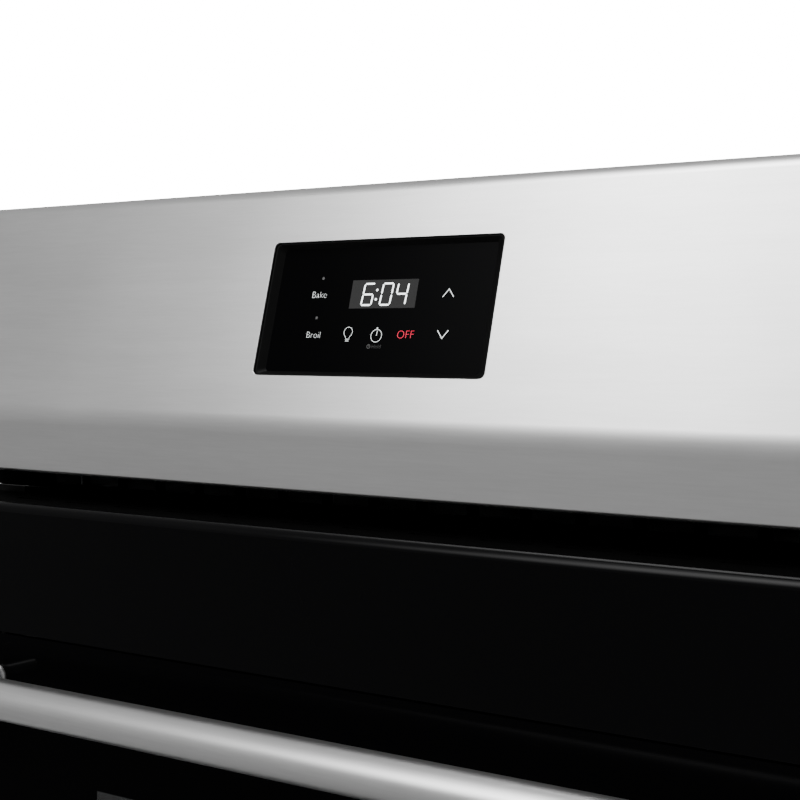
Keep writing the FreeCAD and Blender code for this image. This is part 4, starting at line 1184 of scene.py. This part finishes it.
def build_world():
    """A soft surround with one tall bright patch to the front left, seen as clean white behind."""
    settings = bpy.context.scene.oven_stage
    world = bpy.data.worlds.new("studio")
    bpy.context.scene.world = world
    world.use_nodes = True
    tree = world.node_tree
    tree.nodes.clear()

    def node(kind, **values):
        made = tree.nodes.new(kind)
        for key, value in values.items():
            setattr(made, key, value)
        return made

    place = node("ShaderNodeTexCoord")
    turn = node("ShaderNodeMapping")
    turn.inputs["Rotation"].default_value = (0.0, 0.0, settings.patch_side)
    centre = Vector((0.0, -math.cos(settings.patch_up), math.sin(settings.patch_up)))
    shrink = Vector([1.0 / reach for reach in settings.patch_reach])
    patch = node("ShaderNodeMapping")
    patch.inputs["Scale"].default_value = shrink
    patch.inputs["Location"].default_value = -centre * shrink
    falloff = node("ShaderNodeTexGradient", gradient_type="SPHERICAL")
    bright = node("ShaderNodeMapRange", interpolation_type="SMOOTHSTEP")
    bright.inputs["To Min"].default_value = settings.surround
    bright.inputs["To Max"].default_value = settings.patch
    surround = node("ShaderNodeBackground")
    seen = node("ShaderNodeBackground")
    seen.inputs["Color"].default_value = (1.0, 1.0, 1.0, 1.0)
    seen.inputs["Strength"].default_value = BACKDROP_WHITE
    rays = node("ShaderNodeLightPath")
    mix = node("ShaderNodeMixShader")
    output = node("ShaderNodeOutputWorld")
    tree.links.new(place.outputs["Generated"], turn.inputs["Vector"])
    tree.links.new(turn.outputs["Vector"], patch.inputs["Vector"])
    tree.links.new(patch.outputs["Vector"], falloff.inputs["Vector"])
    tree.links.new(falloff.outputs["Fac"], bright.inputs["Value"])
    tree.links.new(bright.outputs["Result"], surround.inputs["Strength"])
    tree.links.new(rays.outputs["Is Camera Ray"], mix.inputs["Fac"])
    tree.links.new(surround.outputs["Background"], mix.inputs[1])
    tree.links.new(seen.outputs["Background"], mix.inputs[2])
    tree.links.new(mix.outputs["Shader"], output.inputs["Surface"])


def build_lights():
    """A soft overhead light and a weak fill from the right."""
    settings = bpy.context.scene.oven_stage
    target = PanelPlace().middle
    area_light("overhead", target + Vector((-0.2, -0.9, 1.9)), target, 1.8, 1.2, settings.key_power)
    area_light("fill", target + Vector((2.2, -1.4, 1.2)), target, 1.2, 1.2, settings.key_power * 0.3)


def build_camera():
    """The camera in front and to the right, looking slightly down at the panel."""
    settings = bpy.context.scene.oven_stage
    data = bpy.data.cameras.new("camera")
    data.sensor_width = 36.0
    data.lens = settings.lens
    data.clip_start = 0.01
    data.clip_end = 60.0
    camera = bpy.data.objects.new("camera", data)
    camera.location = PanelPlace().middle + Vector(settings.away)
    camera.rotation_euler = (math.pi / 2 - settings.pitch, 0.0, settings.yaw)
    bpy.context.scene.collection.objects.link(camera)
    bpy.context.scene.camera = camera


# ---- operators ----


class OVEN_OT_panel(bpy.types.Operator):
    """Build the folded stainless control panel."""

    bl_idname = "oven.build_panel"
    bl_label = "Control Panel"

    def execute(self, context):
        build_panel_sheet()
        return {"FINISHED"}


class OVEN_OT_marks(bpy.types.Operator):
    """Build the lit digits, words and symbols of the display."""

    bl_idname = "oven.build_marks"
    bl_label = "Display Marks"

    def execute(self, context):
        build_marks()
        return {"FINISHED"}


class OVEN_OT_door_band(bpy.types.Operator):
    """Build the glossy band across the door's top."""

    bl_idname = "oven.build_door_band"
    bl_label = "Door Band"

    def execute(self, context):
        build_door_band()
        return {"FINISHED"}


class OVEN_OT_handle(bpy.types.Operator):
    """Build the handle's bar and posts."""

    bl_idname = "oven.build_handle"
    bl_label = "Handle"

    def execute(self, context):
        build_handle()
        return {"FINISHED"}


class OVEN_OT_seal(bpy.types.Operator):
    """Build the woven door seal."""

    bl_idname = "oven.build_seal"
    bl_label = "Door Seal"

    def execute(self, context):
        build_seal()
        return {"FINISHED"}


class OVEN_OT_blankets(bpy.types.Operator):
    """Build the fibre blankets around the cavity and in the door."""

    bl_idname = "oven.build_blankets"
    bl_label = "Blankets"

    def execute(self, context):
        build_blanket("insulation_blankets", "cavity_blanket", "oven", 8.0 * MM)
        build_blanket("door_insulation", "door_blanket", "door", 6.0 * MM)
        return {"FINISHED"}


class OVEN_OT_finishes(bpy.types.Operator):
    """Give every carried-over piece its finish."""

    bl_idname = "oven.finish_pieces"
    bl_label = "Finishes"

    def execute(self, context):
        finish_carried_nodes()
        return {"FINISHED"}


class OVEN_OT_stage(bpy.types.Operator):
    """Build the floor, the surround, the lights and the camera."""

    bl_idname = "oven.build_stage"
    bl_label = "Stage"

    def execute(self, context):
        build_floor()
        build_world()
        build_lights()
        build_camera()
        return {"FINISHED"}


class OVEN_PT_sidebar(bpy.types.Panel):
    """The steps in building order."""

    bl_idname = "OVEN_PT_sidebar"
    bl_label = "Wall Oven"
    bl_space_type = "VIEW_3D"
    bl_region_type = "UI"
    bl_category = "Wall Oven"

    def draw(self, context):
        for step in STEPS:
            self.layout.operator(step.bl_idname)


STEPS = (
    OVEN_OT_panel, OVEN_OT_marks, OVEN_OT_door_band, OVEN_OT_handle, OVEN_OT_seal, OVEN_OT_blankets,
    OVEN_OT_finishes, OVEN_OT_stage,
)
SETTINGS = {
    "oven_panel": OvenPanelSettings,
    "oven_display": OvenDisplaySettings,
    "oven_door": OvenDoorSettings,
    "oven_stage": OvenStageSettings,
}


def register():
    """Add the settings, the steps and the sidebar panel."""
    for name, group in SETTINGS.items():
        bpy.utils.register_class(group)
        setattr(bpy.types.Scene, name, bpy.props.PointerProperty(type=group))
    for step in STEPS:
        bpy.utils.register_class(step)
    bpy.utils.register_class(OVEN_PT_sidebar)


def unregister():
    """Take everything away again."""
    bpy.utils.unregister_class(OVEN_PT_sidebar)
    for step in reversed(STEPS):
        bpy.utils.unregister_class(step)
    for name, group in SETTINGS.items():
        delattr(bpy.types.Scene, name)
        bpy.utils.unregister_class(group)


def clear_default_objects():
    """Remove whatever the start-up scene holds besides the oven."""
    kept = set(frame["nodes"].values()) | set(frame["bodies"].values())
    for thing in list(bpy.data.objects):
        if thing not in kept:
            bpy.data.objects.remove(thing)


def main():
    """Build the oven step by step."""
    register()
    clear_default_objects()
    for step in STEPS:
        group, action = step.bl_idname.split(".")
        getattr(getattr(bpy.ops, group), action)()


if __name__ == "__main__":
    main()
